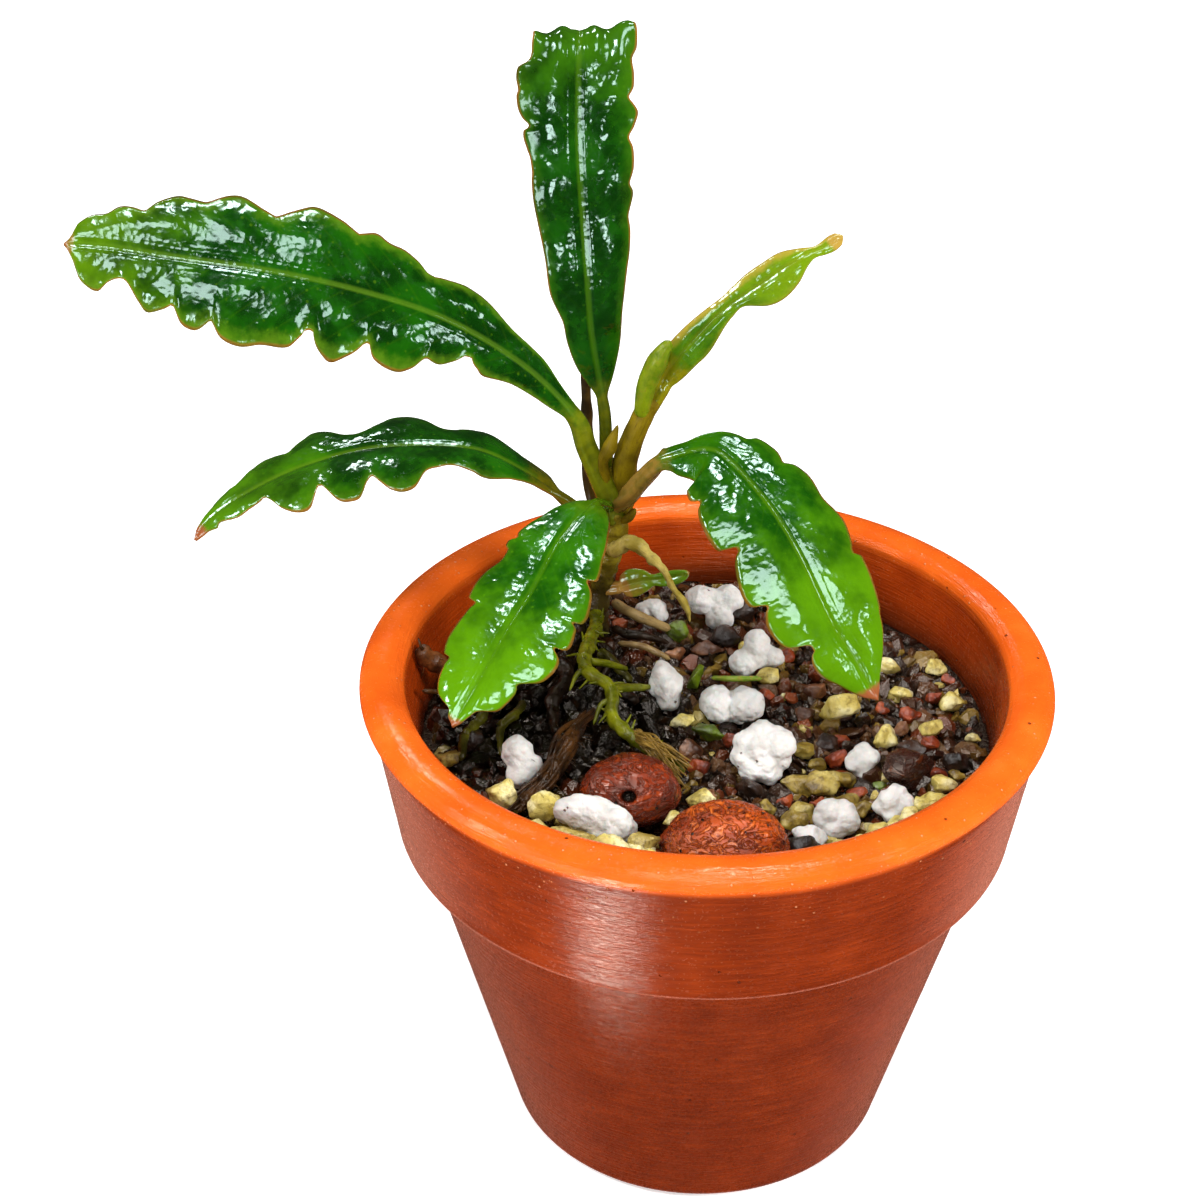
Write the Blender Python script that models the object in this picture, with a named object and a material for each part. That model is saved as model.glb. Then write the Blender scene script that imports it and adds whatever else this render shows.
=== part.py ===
"""A small bucephalandra growing in a terracotta pot, rooted in a bed of wet grit.

The origin is the middle of the pot's flat base and +Z is up. The longest leaf points to -X,
and the front of the pot, which the plant leans over, is at -Y.
Sizes and places are in millimetres, and become metres where a mesh is made.
"""

import math
import random

import bmesh
import bpy
from mathutils import Vector, noise

MM = 0.001
# The space kept between two pieces that touch
GAP = 0.3
# The angle in degrees between two faces from which their edge is drawn sharp
SHARP_FROM = 50

# The pot, turned about the Z axis
POT_HEIGHT = 51.7
RIM_RADIUS = 33.0
LIP_CREST_RADIUS = 30.7
LIP_INNER_RADIUS = 28.7
LIP_HEIGHT = 2.6
LIP_NOTCH_RADIUS = 32.1
LIP_NOTCH_DROP = 0.3
COLLAR_HEIGHT = 16.7
COLLAR_FOOT_RADIUS = 30.05
COLLAR_CORNER = 1.3
BODY_TOP_RADIUS = 27.85
STEP_FILLET = 0.5
BASE_RADIUS = 19.2
BASE_CORNER = 1.5
FLOOR_THICKNESS = 4.0
FLOOR_RADIUS = 15.6
WALL_RADIUS_AT_BED = 27.4
POT_SEGMENTS = 44

# The bed of grit
BED_LEVEL = 43.8
BED_RELIEF = 0.35
BED_GRAIN = 3.1
BED_RINGS = 6
BED_SEGMENTS = 32
# What the pot's flat facets take from the round space inside it
FACET_SLACK = 0.1
# x, y, radius and depth of the hollows that the two clay balls sit in
BED_SEATS = [(-7.3, -13.3, 6.5, 1.0), (1.0, -21.5, 7.5, 1.7)]

# The leaves. Each spine runs from the foot of the stalk to the tip of the blade, and face is
# the way that the upper side looks. widths holds distance along the spine, from 0 to 1, and the
# half width to the left and to the right of the midrib, seen from above with the tip ahead.
# crests says where along the spine the two frilled edges stand out.
LEAVES = {
    "leaf_upright": {
        "spine": [(-10.2, 16.9, 65.2), (-9.6, 16.6, 68.8), (-9.9, 16.6, 71.3), (-10.9, 17.2, 77.7),
                  (-11.3, 18.0, 82.9), (-11.7, 19.5, 88.2), (-12.1, 21.0, 94.8), (-12.1, 23.0, 100.6),
                  (-12.0, 24.4, 103.4), (-12.0, 26.4, 104.4), (-12.0, 28.2, 103.2)],
        "face": (0.0, -1.0, 0.3),
        "stalk": (0.14, 0.65, 0.6),
        "widths": [(0.14, 0.5, 0.5), (0.21, 1.7, 1.9), (0.31, 2.6, 3.0), (0.42, 3.7, 3.8),
                   (0.53, 4.0, 4.5), (0.65, 4.5, 4.8), (0.75, 5.0, 5.1), (0.84, 5.3, 5.1),
                   (0.88, 4.5, 4.8), (0.93, 3.8, 4.3), (1.0, 0.5, 0.5)],
        "crests_left": [0.14, 0.28, 0.39, 0.52, 0.60, 0.65, 0.71, 0.78, 0.845, 0.93],
        "crests_right": [0.14, 0.27, 0.36, 0.45, 0.53, 0.58, 0.66, 0.755, 0.83, 0.90],
        "frill": (0.4, 0.7),
        "stations": 42,
    },
    "leaf_long_left": {
        "spine": [(-10.2, 15.3, 60.7), (-11.6, 15.0, 66.5), (-12.7, 14.5, 70.5), (-17.4, 14.0, 76.0),
                  (-24.5, 13.0, 81.3), (-32.3, 12.0, 84.7), (-40.4, 11.0, 87.2), (-48.4, 10.0, 89.0),
                  (-54.2, 9.0, 90.5), (-58.1, 8.0, 91.3)],
        "face": (0.0, -0.7, 0.72),
        "stalk": (0.17, 1.05, 0.9),
        "widths": [(0.17, 0.8, 0.9), (0.22, 1.6, 1.3), (0.30, 2.4, 2.2), (0.38, 3.1, 3.2),
                   (0.43, 4.2, 3.7), (0.49, 5.5, 4.5), (0.57, 6.1, 5.7), (0.65, 6.0, 6.3),
                   (0.73, 6.6, 6.1), (0.80, 5.7, 5.8), (0.86, 4.6, 5.1), (0.92, 3.8, 3.8),
                   (0.96, 2.9, 2.7), (1.0, 0.5, 0.5)],
        "crests_left": [0.17, 0.31, 0.40, 0.475, 0.585, 0.665, 0.725, 0.795, 0.865, 0.955],
        "crests_right": [0.17, 0.35, 0.43, 0.505, 0.555, 0.65, 0.76, 0.845, 0.915, 0.97],
        "frill": (0.85, 1.0),
        "stations": 52,
    },
    "leaf_low_left": {
        "spine": [(-11.4, 15.0, 58.7), (-13.4, 14.8, 60.7), (-17.6, 15.0, 63.9), (-22.9, 15.0, 66.4),
                  (-31.6, 14.0, 67.0), (-38.6, 12.5, 65.8), (-44.2, 11.0, 63.6), (-47.7, 10.0, 61.4),
                  (-49.1, 9.0, 59.7)],
        "face": (0.0, -0.1, 1.0),
        "stalk": (0.09, 0.7, 0.6),
        "widths": [(0.09, 0.6, 0.7), (0.14, 0.9, 1.3), (0.22, 2.3, 2.2), (0.30, 3.4, 2.9),
                   (0.38, 4.0, 3.4), (0.47, 5.8, 4.4), (0.56, 6.3, 4.0), (0.65, 6.2, 4.3),
                   (0.74, 5.2, 3.8), (0.80, 3.6, 3.3), (0.88, 2.2, 2.1), (0.95, 0.8, 0.8),
                   (1.0, 0.35, 0.35)],
        "crests_left": [0.09, 0.25, 0.34, 0.485, 0.625, 0.745, 0.87, 0.97],
        "crests_right": [0.09, 0.30, 0.465, 0.655, 0.78, 0.89, 0.98],
        "frill": (0.8, 0.9),
        "stations": 40,
    },
    "leaf_front_left": {
        "spine": [(-9.7, 13.3, 61.2), (-11.3, 10.0, 62.8), (-14.0, 5.0, 61.9), (-16.5, 0.0, 59.5),
                  (-19.0, -4.6, 57.5), (-21.2, -9.0, 55.3), (-23.5, -12.5, 52.9)],
        "face": (0.0, -0.3, 0.95),
        "stalk": (0.07, 0.6, 0.55),
        "widths": [(0.07, 0.6, 0.6), (0.16, 2.7, 2.2), (0.24, 3.8, 3.2), (0.36, 4.8, 4.1),
                   (0.46, 5.3, 4.7), (0.56, 5.4, 5.1), (0.68, 5.3, 4.7), (0.79, 4.3, 4.0),
                   (0.90, 2.9, 3.1), (0.95, 1.5, 1.8), (1.0, 0.4, 0.4)],
        "crests_left": [0.07, 0.22, 0.36, 0.48, 0.60, 0.715, 0.86, 0.97],
        "crests_right": [0.07, 0.23, 0.37, 0.525, 0.65, 0.775, 0.895, 0.98],
        "frill": (0.4, 0.6),
        "stations": 34,
    },
    "leaf_right": {
        "spine": [(-6.9, 13.2, 61.4), (-5.9, 12.6, 64.4), (-3.9, 11.5, 67.1), (0.0, 10.5, 68.8),
                  (2.3, 9.0, 68.2), (5.8, 5.0, 65.7), (8.4, 1.0, 62.9), (11.3, -4.0, 58.5),
                  (13.5, -6.0, 55.8), (15.5, -8.0, 52.7)],
        "face": (0.1, -0.5, 0.85),
        "stalk": (0.16, 0.8, 0.7),
        "widths": [(0.16, 0.7, 0.7), (0.23, 1.4, 2.4), (0.31, 2.8, 4.8), (0.40, 4.5, 6.0),
                   (0.50, 5.2, 6.3), (0.60, 5.4, 6.0), (0.70, 5.4, 5.8), (0.79, 5.0, 4.8),
                   (0.88, 3.9, 3.7), (0.95, 2.0, 2.2), (1.0, 0.4, 0.4)],
        "crests_left": [0.16, 0.28, 0.34, 0.42, 0.51, 0.61, 0.67, 0.76, 0.85, 0.95],
        "crests_right": [0.16, 0.32, 0.455, 0.54, 0.67, 0.79, 0.88, 0.95],
        "frill": (0.55, 0.8),
        "stations": 42,
    },
    "leaf_young": {
        "spine": [(-4.4, 14.9, 72.7), (-3.6, 14.6, 75.0), (-1.6, 14.2, 78.1), (1.3, 14.0, 81.6),
                  (5.2, 14.0, 84.7), (8.4, 14.0, 87.1), (10.6, 14.5, 87.9), (12.3, 15.0, 88.9)],
        "face": (0.0, -0.85, 0.5),
        "stalk": (0.04, 0.75, 0.75),
        "widths": [(0.04, 0.8, 0.8), (0.20, 1.2, 1.4), (0.30, 1.3, 1.7), (0.46, 1.1, 1.0),
                   (0.53, 1.3, 0.8), (0.61, 1.6, 2.0), (0.68, 1.6, 2.3), (0.76, 1.5, 1.9),
                   (0.83, 0.8, 0.9), (0.88, 0.45, 0.45), (0.96, 0.55, 0.55), (1.0, 0.35, 0.35)],
        "crests_left": [0.04, 0.70, 1.0],
        "crests_right": [0.04, 0.70, 1.0],
        "frill": (0.1, 0.2),
        "stations": 22,
    },
}
BLADE_THICKNESS = 0.6
# A stalk starts to flatten at this share of its length, and is flat this share of the leaf past its end
FLATTEN_FROM = 0.7
FLAT_AFTER = 0.04
# How much thinner the edge of a blade is than its middle, and how high each half bulges
EDGE_THINNING = 0.45
BLADE_BULGE = 0.12
# The rows of points across a blade's upper side, as shares of its half width
TOP_ROWS = (-1.0, -0.55, 0.0, 0.55, 1.0)
# The frill grows over this share of the length after the stalk, and fades over this share at the tip
FRILL_ONSET = 0.12
FRILL_FADE = 0.06
# The turn, in radians, between the frill's reach outwards and its rise
FRILL_LEAD = 1.1
# The share of the length from the last crest to where the next would be
LAST_CREST_PITCH = 0.09

# Stem, sheaths, stalks and roots: the path of each one's middle, and its radius from end to end
TUBES = {
    "rhizome": {
        "path": [(-11.2, 16.3, 44.5), (-10.8, 16.2, 47.5), (-9.7, 16.0, 51.4), (-9.0, 16.0, 55.0),
                 (-8.7, 16.0, 58.0), (-8.8, 15.8, 60.3)],
        "radii": [1.9, 1.7, 1.0, 1.0, 1.1, 1.5],
        "sides": 10,
        "finish": "stalk_olive",
    },
    "sheath_young": {
        "path": [(-7.6, 15.7, 60.7), (-7.7, 15.1, 64.4), (-7.0, 14.6, 67.6), (-5.9, 14.5, 70.6),
                 (-5.2, 14.5, 72.2)],
        "radii": [1.1, 1.25, 1.15, 1.05, 1.1],
        "sides": 10,
        "finish": "stalk_olive",
    },
    "sheath_bud": {
        "path": [(-6.1, 13.6, 73.0), (-5.9, 13.6, 74.6), (-4.8, 13.4, 77.6), (-3.9, 13.4, 79.4)],
        "radii": [0.7, 0.8, 0.65, 0.25],
        "sides": 8,
        "finish": "young_green",
    },
    "sheath_small": {
        "path": [(-10.0, 13.9, 66.4), (-9.2, 13.4, 68.2), (-8.3, 13.3, 70.3)],
        "radii": [0.4, 0.5, 0.2],
        "sides": 8,
        "finish": "stalk_olive",
    },
    "stalk_old": {
        "path": [(-10.3, 17.7, 57.0), (-11.2, 19.2, 60.0), (-11.3, 19.6, 64.0),
                 (-11.5, 20.0, 72.4)],
        "radii": [0.55, 0.6, 0.6, 0.45],
        "sides": 8,
        "finish": "stalk_brown",
    },
    "bud_tiny": {
        "path": [(-6.9, 14.5, 59.0), (-6.2, 14.1, 60.2)],
        "radii": [0.5, 0.2],
        "sides": 6,
        "finish": "stalk_olive",
    },
    "stub_bent": {
        "path": [(-8.6, 14.1, 55.6), (-7.3, 13.0, 57.1), (-5.6, 12.0, 56.5), (-3.8, 11.0, 55.0),
                 (-2.9, 10.5, 53.2), (-1.6, 10.0, 51.4), (-1.3, 10.0, 50.0)],
        "radii": [0.6, 0.6, 0.5, 0.45, 0.35, 0.3, 0.2],
        "sides": 6,
        "finish": "stalk_olive",
    },
    "shoot_small": {
        "path": [(-8.1, 15.3, 50.4), (-6.0, 14.8, 51.4), (-3.2, 14.0, 52.3), (-1.3, 13.5, 53.2)],
        "radii": [0.5, 0.9, 0.75, 0.15],
        "sides": 6,
        "finish": "young_green",
    },
    "root_main": {
        "path": [(-10.4, 13.5, 47.6), (-11.0, 9.6, 48.0), (-11.6, 5.3, 48.5), (-11.2, 2.9, 48.5),
                 (-9.3, 0.8, 48.4), (-8.9, -1.2, 48.0), (-8.8, -4.1, 47.8), (-6.4, -6.4, 46.8),
                 (-3.4, -7.2, 45.6), (-2.4, -8.4, 45.1)],
        "radii": [0.7, 0.65, 0.7, 0.7, 0.65, 0.6, 0.65, 0.6, 0.8, 0.3],
        "sides": 6,
        "finish": "root_green",
    },
    "root_olive": {
        "path": [(-9.9, 9.8, 46.3), (-8.2, 8.0, 45.4), (-7.2, 7.0, 44.8)],
        "radii": [0.5, 0.5, 0.4],
        "sides": 6,
        "finish": "root_green",
    },
    "root_pale": {
        "path": [(-8.6, 17.4, 47.2), (-6.5, 15.8, 46.8), (-3.3, 15.2, 45.6)],
        "radii": [0.5, 0.55, 0.45],
        "sides": 6,
        "finish": "root_brown",
    },
    "root_black": {
        "path": [(-8.6, 14.6, 45.9), (-7.3, 14.0, 45.6), (-5.6, 13.2, 45.9), (-3.5, 13.2, 45.2)],
        "radii": [0.45, 0.55, 0.4, 0.25],
        "sides": 6,
        "finish": "root_brown",
    },
    "root_thin": {
        "path": [(-8.0, 12.6, 45.4), (-5.6, 11.7, 45.6), (-3.4, 10.8, 44.9)],
        "radii": [0.3, 0.35, 0.3],
        "sides": 6,
        "finish": "root_brown",
    },
    "root_brown": {
        "path": [(-12.6, -3.8, 45.5), (-13.2, -7.4, 46.2), (-14.6, -11.2, 45.8),
                 (-15.6, -14.0, 45.2)],
        "radii": [0.5, 0.7, 0.65, 0.35],
        "sides": 6,
        "finish": "root_brown",
    },
    "root_stub_wall": {
        "path": [(-26.2, 8.2, 47.2), (-24.6, 8.0, 46.7), (-22.9, 7.6, 45.4)],
        "radii": [0.7, 0.85, 0.6],
        "sides": 6,
        "finish": "root_brown",
    },
    "root_dark_1": {
        "path": [(-12.4, 13.3, 46.6), (-13.0, 8.0, 46.8), (-14.0, 2.2, 46.0), (-15.0, -2.4, 45.2)],
        "radii": [0.7, 0.7, 0.6, 0.4],
        "sides": 6,
        "finish": "root_brown",
    },
    "root_dark_2": {
        "path": [(-13.6, 15.2, 46.2), (-15.6, 11.4, 46.8), (-18.2, 7.0, 46.0), (-21.0, 3.6, 45.2)],
        "radii": [0.7, 0.65, 0.6, 0.4],
        "sides": 6,
        "finish": "root_brown",
    },
    "root_dark_3": {
        "path": [(-13.7, 17.4, 45.6), (-17.2, 16.2, 46.0), (-20.6, 12.8, 45.6)],
        "radii": [0.6, 0.55, 0.4],
        "sides": 6,
        "finish": "root_brown",
    },
    "root_dark_4": {
        "path": [(-9.7, 6.6, 45.1), (-9.4, 4.4, 45.6), (-6.6, 2.6, 45.4)],
        "radii": [0.45, 0.5, 0.4],
        "sides": 6,
        "finish": "root_brown",
    },
    "root_green_1": {
        "path": [(-21.6, 2.0, 45.8), (-22.6, -2.0, 45.8), (-23.2, -6.4, 45.0)],
        "radii": [0.4, 0.5, 0.35],
        "sides": 6,
        "finish": "root_green",
    },
    "root_green_2": {
        "path": [(-17.6, 2.0, 45.4), (-19.2, -1.8, 45.6), (-19.4, -5.6, 45.0)],
        "radii": [0.4, 0.45, 0.3],
        "sides": 6,
        "finish": "root_green",
    },
    "twig_green": {
        "path": [(1.2, 6.9, 45.1), (3.0, 6.2, 45.5), (5.5, 6.8, 45.1)],
        "radii": [0.25, 0.3, 0.25],
        "sides": 6,
        "finish": "root_green",
    },
}

# The space between the rings of points along a round piece, and the way its first point looks
TUBE_RING_SPACING = 1.8
TUBE_SIDE = Vector((0.3, 1.0, 0.2))

# Stones on the bed: x and y of the middle, then width, depth and height
CLAY_BALLS = [(-7.3, -13.3, 9.4, 7.8, 6.4), (1.0, -21.5, 11.8, 9.4, 7.4)]
PERLITE = [
    (1.7, 18.9, 6.2, 4.8, 4.2), (-4.8, 19.4, 3.5, 3.0, 2.6), (5.5, 10.3, 5.6, 4.6, 4.0),
    (-3.7, 4.4, 3.5, 4.6, 4.2), (2.7, 1.8, 6.4, 4.4, 3.4), (5.2, -7.3, 6.3, 5.4, 5.0),
    (-17.2, -9.0, 3.5, 4.4, 4.2), (-10.5, -19.1, 7.5, 4.0, 4.4), (11.4, -16.5, 4.4, 3.6, 3.4),
    (16.8, -14.1, 3.9, 3.4, 3.2), (14.6, -6.9, 3.4, 3.2, 2.8), (8.9, -18.9, 3.3, 2.6, 2.4),
]
ZEOLITE = [
    (13.1, 0.7, 4.0, 3.4, 3.0), (-19.1, -13.5, 2.9, 2.6, 2.4), (-15.3, -15.4, 2.9, 2.6, 2.4),
    (-6.6, -23.2, 3.2, 2.6, 2.2), (-2.2, -0.2, 2.4, 2.1, 2.0), (24.2, 2.9, 2.5, 2.2, 2.2),
    (17.2, -2.8, 2.5, 2.2, 2.2), (21.7, -1.2, 2.4, 2.1, 2.0), (23.4, 9.4, 2.3, 2.0, 2.0),
    (-0.8, -12.6, 2.8, 2.1, 2.0), (18.7, 9.7, 2.3, 2.0, 2.0),
]
LUMP_DARK = (18.7, -9.0, 5.2, 4.2, 3.6)
LEAF_BITS = [(0.2, -2.4, 3.0, 2.4, 1.8), (-0.7, 6.9, 1.7, 1.8, 1.8)]
# How far noise pushes the surface of each kind of rounded stone, as a share of its size
CLAY_ROUGHNESS = 0.12
PERLITE_ROUGHNESS = 0.45
LUMP_ROUGHNESS = 0.3
LUMP_PITCH = 1.9
CHIP_CORNERS = 11

# Base colour and roughness of each finish
FINISHES = {
    "terracotta": ((0.55, 0.13, 0.035), 0.5),
    "wet_grit": ((0.045, 0.025, 0.016), 0.45),
    "leaf_green": ((0.03, 0.16, 0.015), 0.2),
    "young_green": ((0.22, 0.32, 0.03), 0.25),
    "stalk_olive": ((0.17, 0.2, 0.035), 0.35),
    "stalk_brown": ((0.07, 0.045, 0.02), 0.5),
    "root_green": ((0.12, 0.14, 0.03), 0.4),
    "root_brown": ((0.09, 0.05, 0.025), 0.5),
    "fired_clay": ((0.22, 0.05, 0.025), 0.45),
    "perlite_white": ((0.8, 0.8, 0.78), 0.7),
    "zeolite_cream": ((0.6, 0.5, 0.25), 0.55),
}


def clear_scene():
    for thing in list(bpy.data.objects):
        bpy.data.objects.remove(thing, do_unlink=True)


def finish(name):
    """The material of this finish, made the first time that it is asked for."""
    made = bpy.data.materials.get(name)
    if made:
        return made
    colour, roughness = FINISHES[name]
    made = bpy.data.materials.new(name)
    made.use_nodes = True
    shader = made.node_tree.nodes["Principled BSDF"]
    shader.inputs["Base Color"].default_value = (*colour, 1.0)
    shader.inputs["Roughness"].default_value = roughness
    shader.inputs["Metallic"].default_value = 0.0
    return made


def add_piece(name, mesh_in_mm, finish_name):
    """Turns a mesh in millimetres into a named, smooth shaded object in metres."""
    bmesh.ops.recalc_face_normals(mesh_in_mm, faces=mesh_in_mm.faces)
    bmesh.ops.scale(mesh_in_mm, vec=(MM, MM, MM), verts=mesh_in_mm.verts)
    mesh = bpy.data.meshes.new(name)
    mesh_in_mm.to_mesh(mesh)
    mesh_in_mm.free()
    mesh.shade_smooth()
    mesh.set_sharp_from_angle(angle=math.radians(SHARP_FROM))
    piece = bpy.data.objects.new(name, mesh)
    piece.data.materials.append(finish(finish_name))
    bpy.context.scene.collection.objects.link(piece)


def smooth_path(points, steps=16):
    """A smooth curve through the points, as a list of close vectors."""
    knots = [Vector(point) for point in points]
    knots = [2 * knots[0] - knots[1]] + knots + [2 * knots[-1] - knots[-2]]
    path = []
    for a, b, c, d in zip(knots, knots[1:], knots[2:], knots[3:]):
        for step in range(steps):
            t = step / steps
            path.append(0.5 * (2 * b + (c - a) * t + (2 * a - 5 * b + 4 * c - d) * t**2
                               + (3 * b - 3 * c + d - a) * t**3))
    path.append(knots[-2])
    return path


def path_lengths(path):
    lengths = [0.0]
    for start, end in zip(path, path[1:]):
        lengths.append(lengths[-1] + (end - start).length)
    return lengths


def interpolate(table, t, column=1):
    """Reads a column of a table whose rows start with a rising t, straight between rows."""
    if t <= table[0][0]:
        return table[0][column]
    for low, high in zip(table, table[1:]):
        if t <= high[0]:
            share = (t - low[0]) / (high[0] - low[0])
            return low[column] + (high[column] - low[column]) * share
    return table[-1][column]


def point_at(path, lengths, t):
    """The point at the fraction t of the path's length."""
    wanted = t * lengths[-1]
    for i in range(1, len(path)):
        if lengths[i] >= wanted or i == len(path) - 1:
            share = (wanted - lengths[i - 1]) / (lengths[i] - lengths[i - 1])
            return path[i - 1].lerp(path[i], min(share, 1.0))


def direction_at(path, lengths, t):
    """The way that the path runs at the fraction t of its length."""
    reach = 0.015
    ahead = point_at(path, lengths, min(t + reach, 1.0))
    behind = point_at(path, lengths, max(t - reach, 0.0))
    return (ahead - behind).normalized()


def loft(rings):
    """A closed skin over rings of equally many points, with a fan over each end."""
    mesh = bmesh.new()
    made = [[mesh.verts.new(point) for point in ring] for ring in rings]
    for ring, after in zip(made, made[1:]):
        count = len(ring)
        for i in range(count):
            k = (i + 1) % count
            mesh.faces.new((ring[i], ring[k], after[k], after[i]))
    mesh.faces.new(made[0][::-1])
    mesh.faces.new(made[-1])
    return mesh


def frill_phase(crests, t):
    """Rises by a full turn from each crest to the next, so that its cosine peaks at the crests."""
    if t <= crests[0]:
        return 0.0
    for i, (low, high) in enumerate(zip(crests, crests[1:])):
        if t <= high:
            return 2 * math.pi * (i + (t - low) / (high - low))
    return 2 * math.pi * (len(crests) - 1 + (t - crests[-1]) / LAST_CREST_PITCH)


def blade_offset(leaf, t, across, surface):
    """Where a point of the blade lies, as its distance to the right and up from the midrib."""
    side = 1 if across >= 0 else -1
    column = 2 if side > 0 else 1
    crests = leaf["crests_right" if side > 0 else "crests_left"]
    outward, upward = leaf["frill"]
    stalk_end = leaf["stalk"][0]
    grown = min(1.0, max(0.0, (t - stalk_end) / FRILL_ONSET)) * min(1.0, (1.0 - t) / FRILL_FADE)
    phase = frill_phase(crests, t)
    half = interpolate(leaf["widths"], t, column)
    half += outward * math.cos(phase) * grown
    edge = abs(across)
    rise = upward * math.cos(phase + FRILL_LEAD) * grown * edge**2
    rise += BLADE_BULGE * half * math.sin(math.pi * edge)
    thickness = BLADE_THICKNESS * (1.0 - EDGE_THINNING * edge)
    return across * half, rise + surface * thickness / 2


def leaf_rings(leaf):
    """Rings of eight points: round along the stalk, and the flat frilled section along the blade."""
    path = smooth_path(leaf["spine"])
    lengths = path_lengths(path)
    stalk_end, foot_radius, neck_radius = leaf["stalk"]
    face = Vector(leaf["face"])
    outline = [(u, 1) for u in TOP_ROWS] + [(u, -1) for u in TOP_ROWS[-2:0:-1]]
    rings = []
    for station in range(leaf["stations"] + 1):
        t = station / leaf["stations"]
        middle = point_at(path, lengths, t)
        ahead = direction_at(path, lengths, t)
        right = ahead.cross(face).normalized()
        up = right.cross(ahead)
        flatten_from = stalk_end * FLATTEN_FROM
        flat = min(1.0, max(0.0, (t - flatten_from) / (stalk_end + FLAT_AFTER - flatten_from)))
        radius = foot_radius + (neck_radius - foot_radius) * min(1.0, t / stalk_end)
        ring = []
        for across, surface in outline:
            edge_surface = 0 if abs(across) == 1 else surface
            sideways, height = blade_offset(leaf, t, across, edge_surface)
            angle = math.pi / 2 * (1 - across) if surface > 0 else math.pi / 2 * (3 + across)
            round_side, round_height = radius * math.cos(angle), radius * math.sin(angle)
            ring.append(middle + right * (round_side + (sideways - round_side) * flat)
                        + up * (round_height + (height - round_height) * flat))
        rings.append(ring)
    return rings


def make_leaf(name, leaf):
    colour = "young_green" if name == "leaf_young" else "leaf_green"
    add_piece(name, loft(leaf_rings(leaf)), colour)


def make_tube(name, tube):
    """A round piece along a smooth path, as thick along it as its radii say."""
    path = smooth_path(tube["path"])
    lengths = path_lengths(path)
    stations = max(4, round(lengths[-1] / TUBE_RING_SPACING))
    last = len(tube["radii"]) - 1
    radius_rows = [(i / last, radius) for i, radius in enumerate(tube["radii"])]
    rings = []
    for station in range(stations + 1):
        t = station / stations
        ahead = direction_at(path, lengths, t)
        right = ahead.cross(TUBE_SIDE).normalized()
        up = right.cross(ahead)
        radius = interpolate(radius_rows, t)
        middle = point_at(path, lengths, t)
        angles = [2 * math.pi * k / tube["sides"] for k in range(tube["sides"])]
        rings.append([middle + radius * (right * math.cos(a) + up * math.sin(a)) for a in angles])
    add_piece(name, loft(rings), tube["finish"])


def arc_points(centre, radius_out, radius_up, start, end, count):
    """Points of an elliptical arc in the profile plane, from one angle in degrees to another."""
    points = []
    for i in range(count + 1):
        angle = math.radians(start + (end - start) * i / count)
        points.append((centre[0] + radius_out * math.cos(angle), centre[1] + radius_up * math.sin(angle)))
    return points


def pot_profile():
    """Radius and height of the pot's section, from the middle of the base out, up and in to the floor."""
    step_height = POT_HEIGHT - COLLAR_HEIGHT
    lip_out = RIM_RADIUS - LIP_CREST_RADIUS
    lip_in = LIP_CREST_RADIUS - LIP_INNER_RADIUS
    lip_middle = (LIP_CREST_RADIUS, POT_HEIGHT - LIP_HEIGHT / 2)
    profile = [(0.0, 0.0)]
    profile += arc_points((BASE_RADIUS - BASE_CORNER, BASE_CORNER), BASE_CORNER, BASE_CORNER, -90, -10, 2)
    profile += [(BODY_TOP_RADIUS, step_height - STEP_FILLET), (BODY_TOP_RADIUS + STEP_FILLET, step_height)]
    profile += arc_points((COLLAR_FOOT_RADIUS - COLLAR_CORNER, step_height + COLLAR_CORNER),
                          COLLAR_CORNER, COLLAR_CORNER, -90, 0, 3)
    profile += [(LIP_NOTCH_RADIUS, POT_HEIGHT - LIP_HEIGHT - LIP_NOTCH_DROP)]
    profile += arc_points(lip_middle, lip_out, LIP_HEIGHT / 2, -35, 90, 4)
    profile += arc_points(lip_middle, lip_in, LIP_HEIGHT / 2, 120, 180, 2)
    profile += [(WALL_RADIUS_AT_BED, BED_LEVEL), (FLOOR_RADIUS, FLOOR_THICKNESS), (0.0, FLOOR_THICKNESS)]
    return profile


def inner_radius_at(height):
    """The radius of the pot's inner wall below the lip."""
    share = (height - FLOOR_THICKNESS) / (BED_LEVEL - FLOOR_THICKNESS)
    return FLOOR_RADIUS + (WALL_RADIUS_AT_BED - FLOOR_RADIUS) * share


def make_pot():
    """Spins the pot's section once round Z and closes it where it meets the axis."""
    mesh = bmesh.new()
    verts = [mesh.verts.new((radius, 0.0, height)) for radius, height in pot_profile()]
    edges = [mesh.edges.new(pair) for pair in zip(verts, verts[1:])]
    bmesh.ops.spin(mesh, geom=verts + edges, cent=(0, 0, 0), axis=(0, 0, 1),
                   angle=2 * math.pi, steps=POT_SEGMENTS, use_merge=True)
    bmesh.ops.remove_doubles(mesh, verts=mesh.verts, dist=GAP / 100)
    add_piece("pot", mesh, "terracotta")


def bed_height(x, y):
    """The grit's surface: gently uneven, with a hollow under each clay ball."""
    height = BED_LEVEL + BED_RELIEF * noise.noise(Vector((x, y, BED_GRAIN)) / BED_GRAIN)
    for seat_x, seat_y, radius, depth in BED_SEATS:
        away = math.hypot(x - seat_x, y - seat_y) / radius
        if away < 1:
            height -= depth * math.cos(away * math.pi / 2)
    return height


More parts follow.
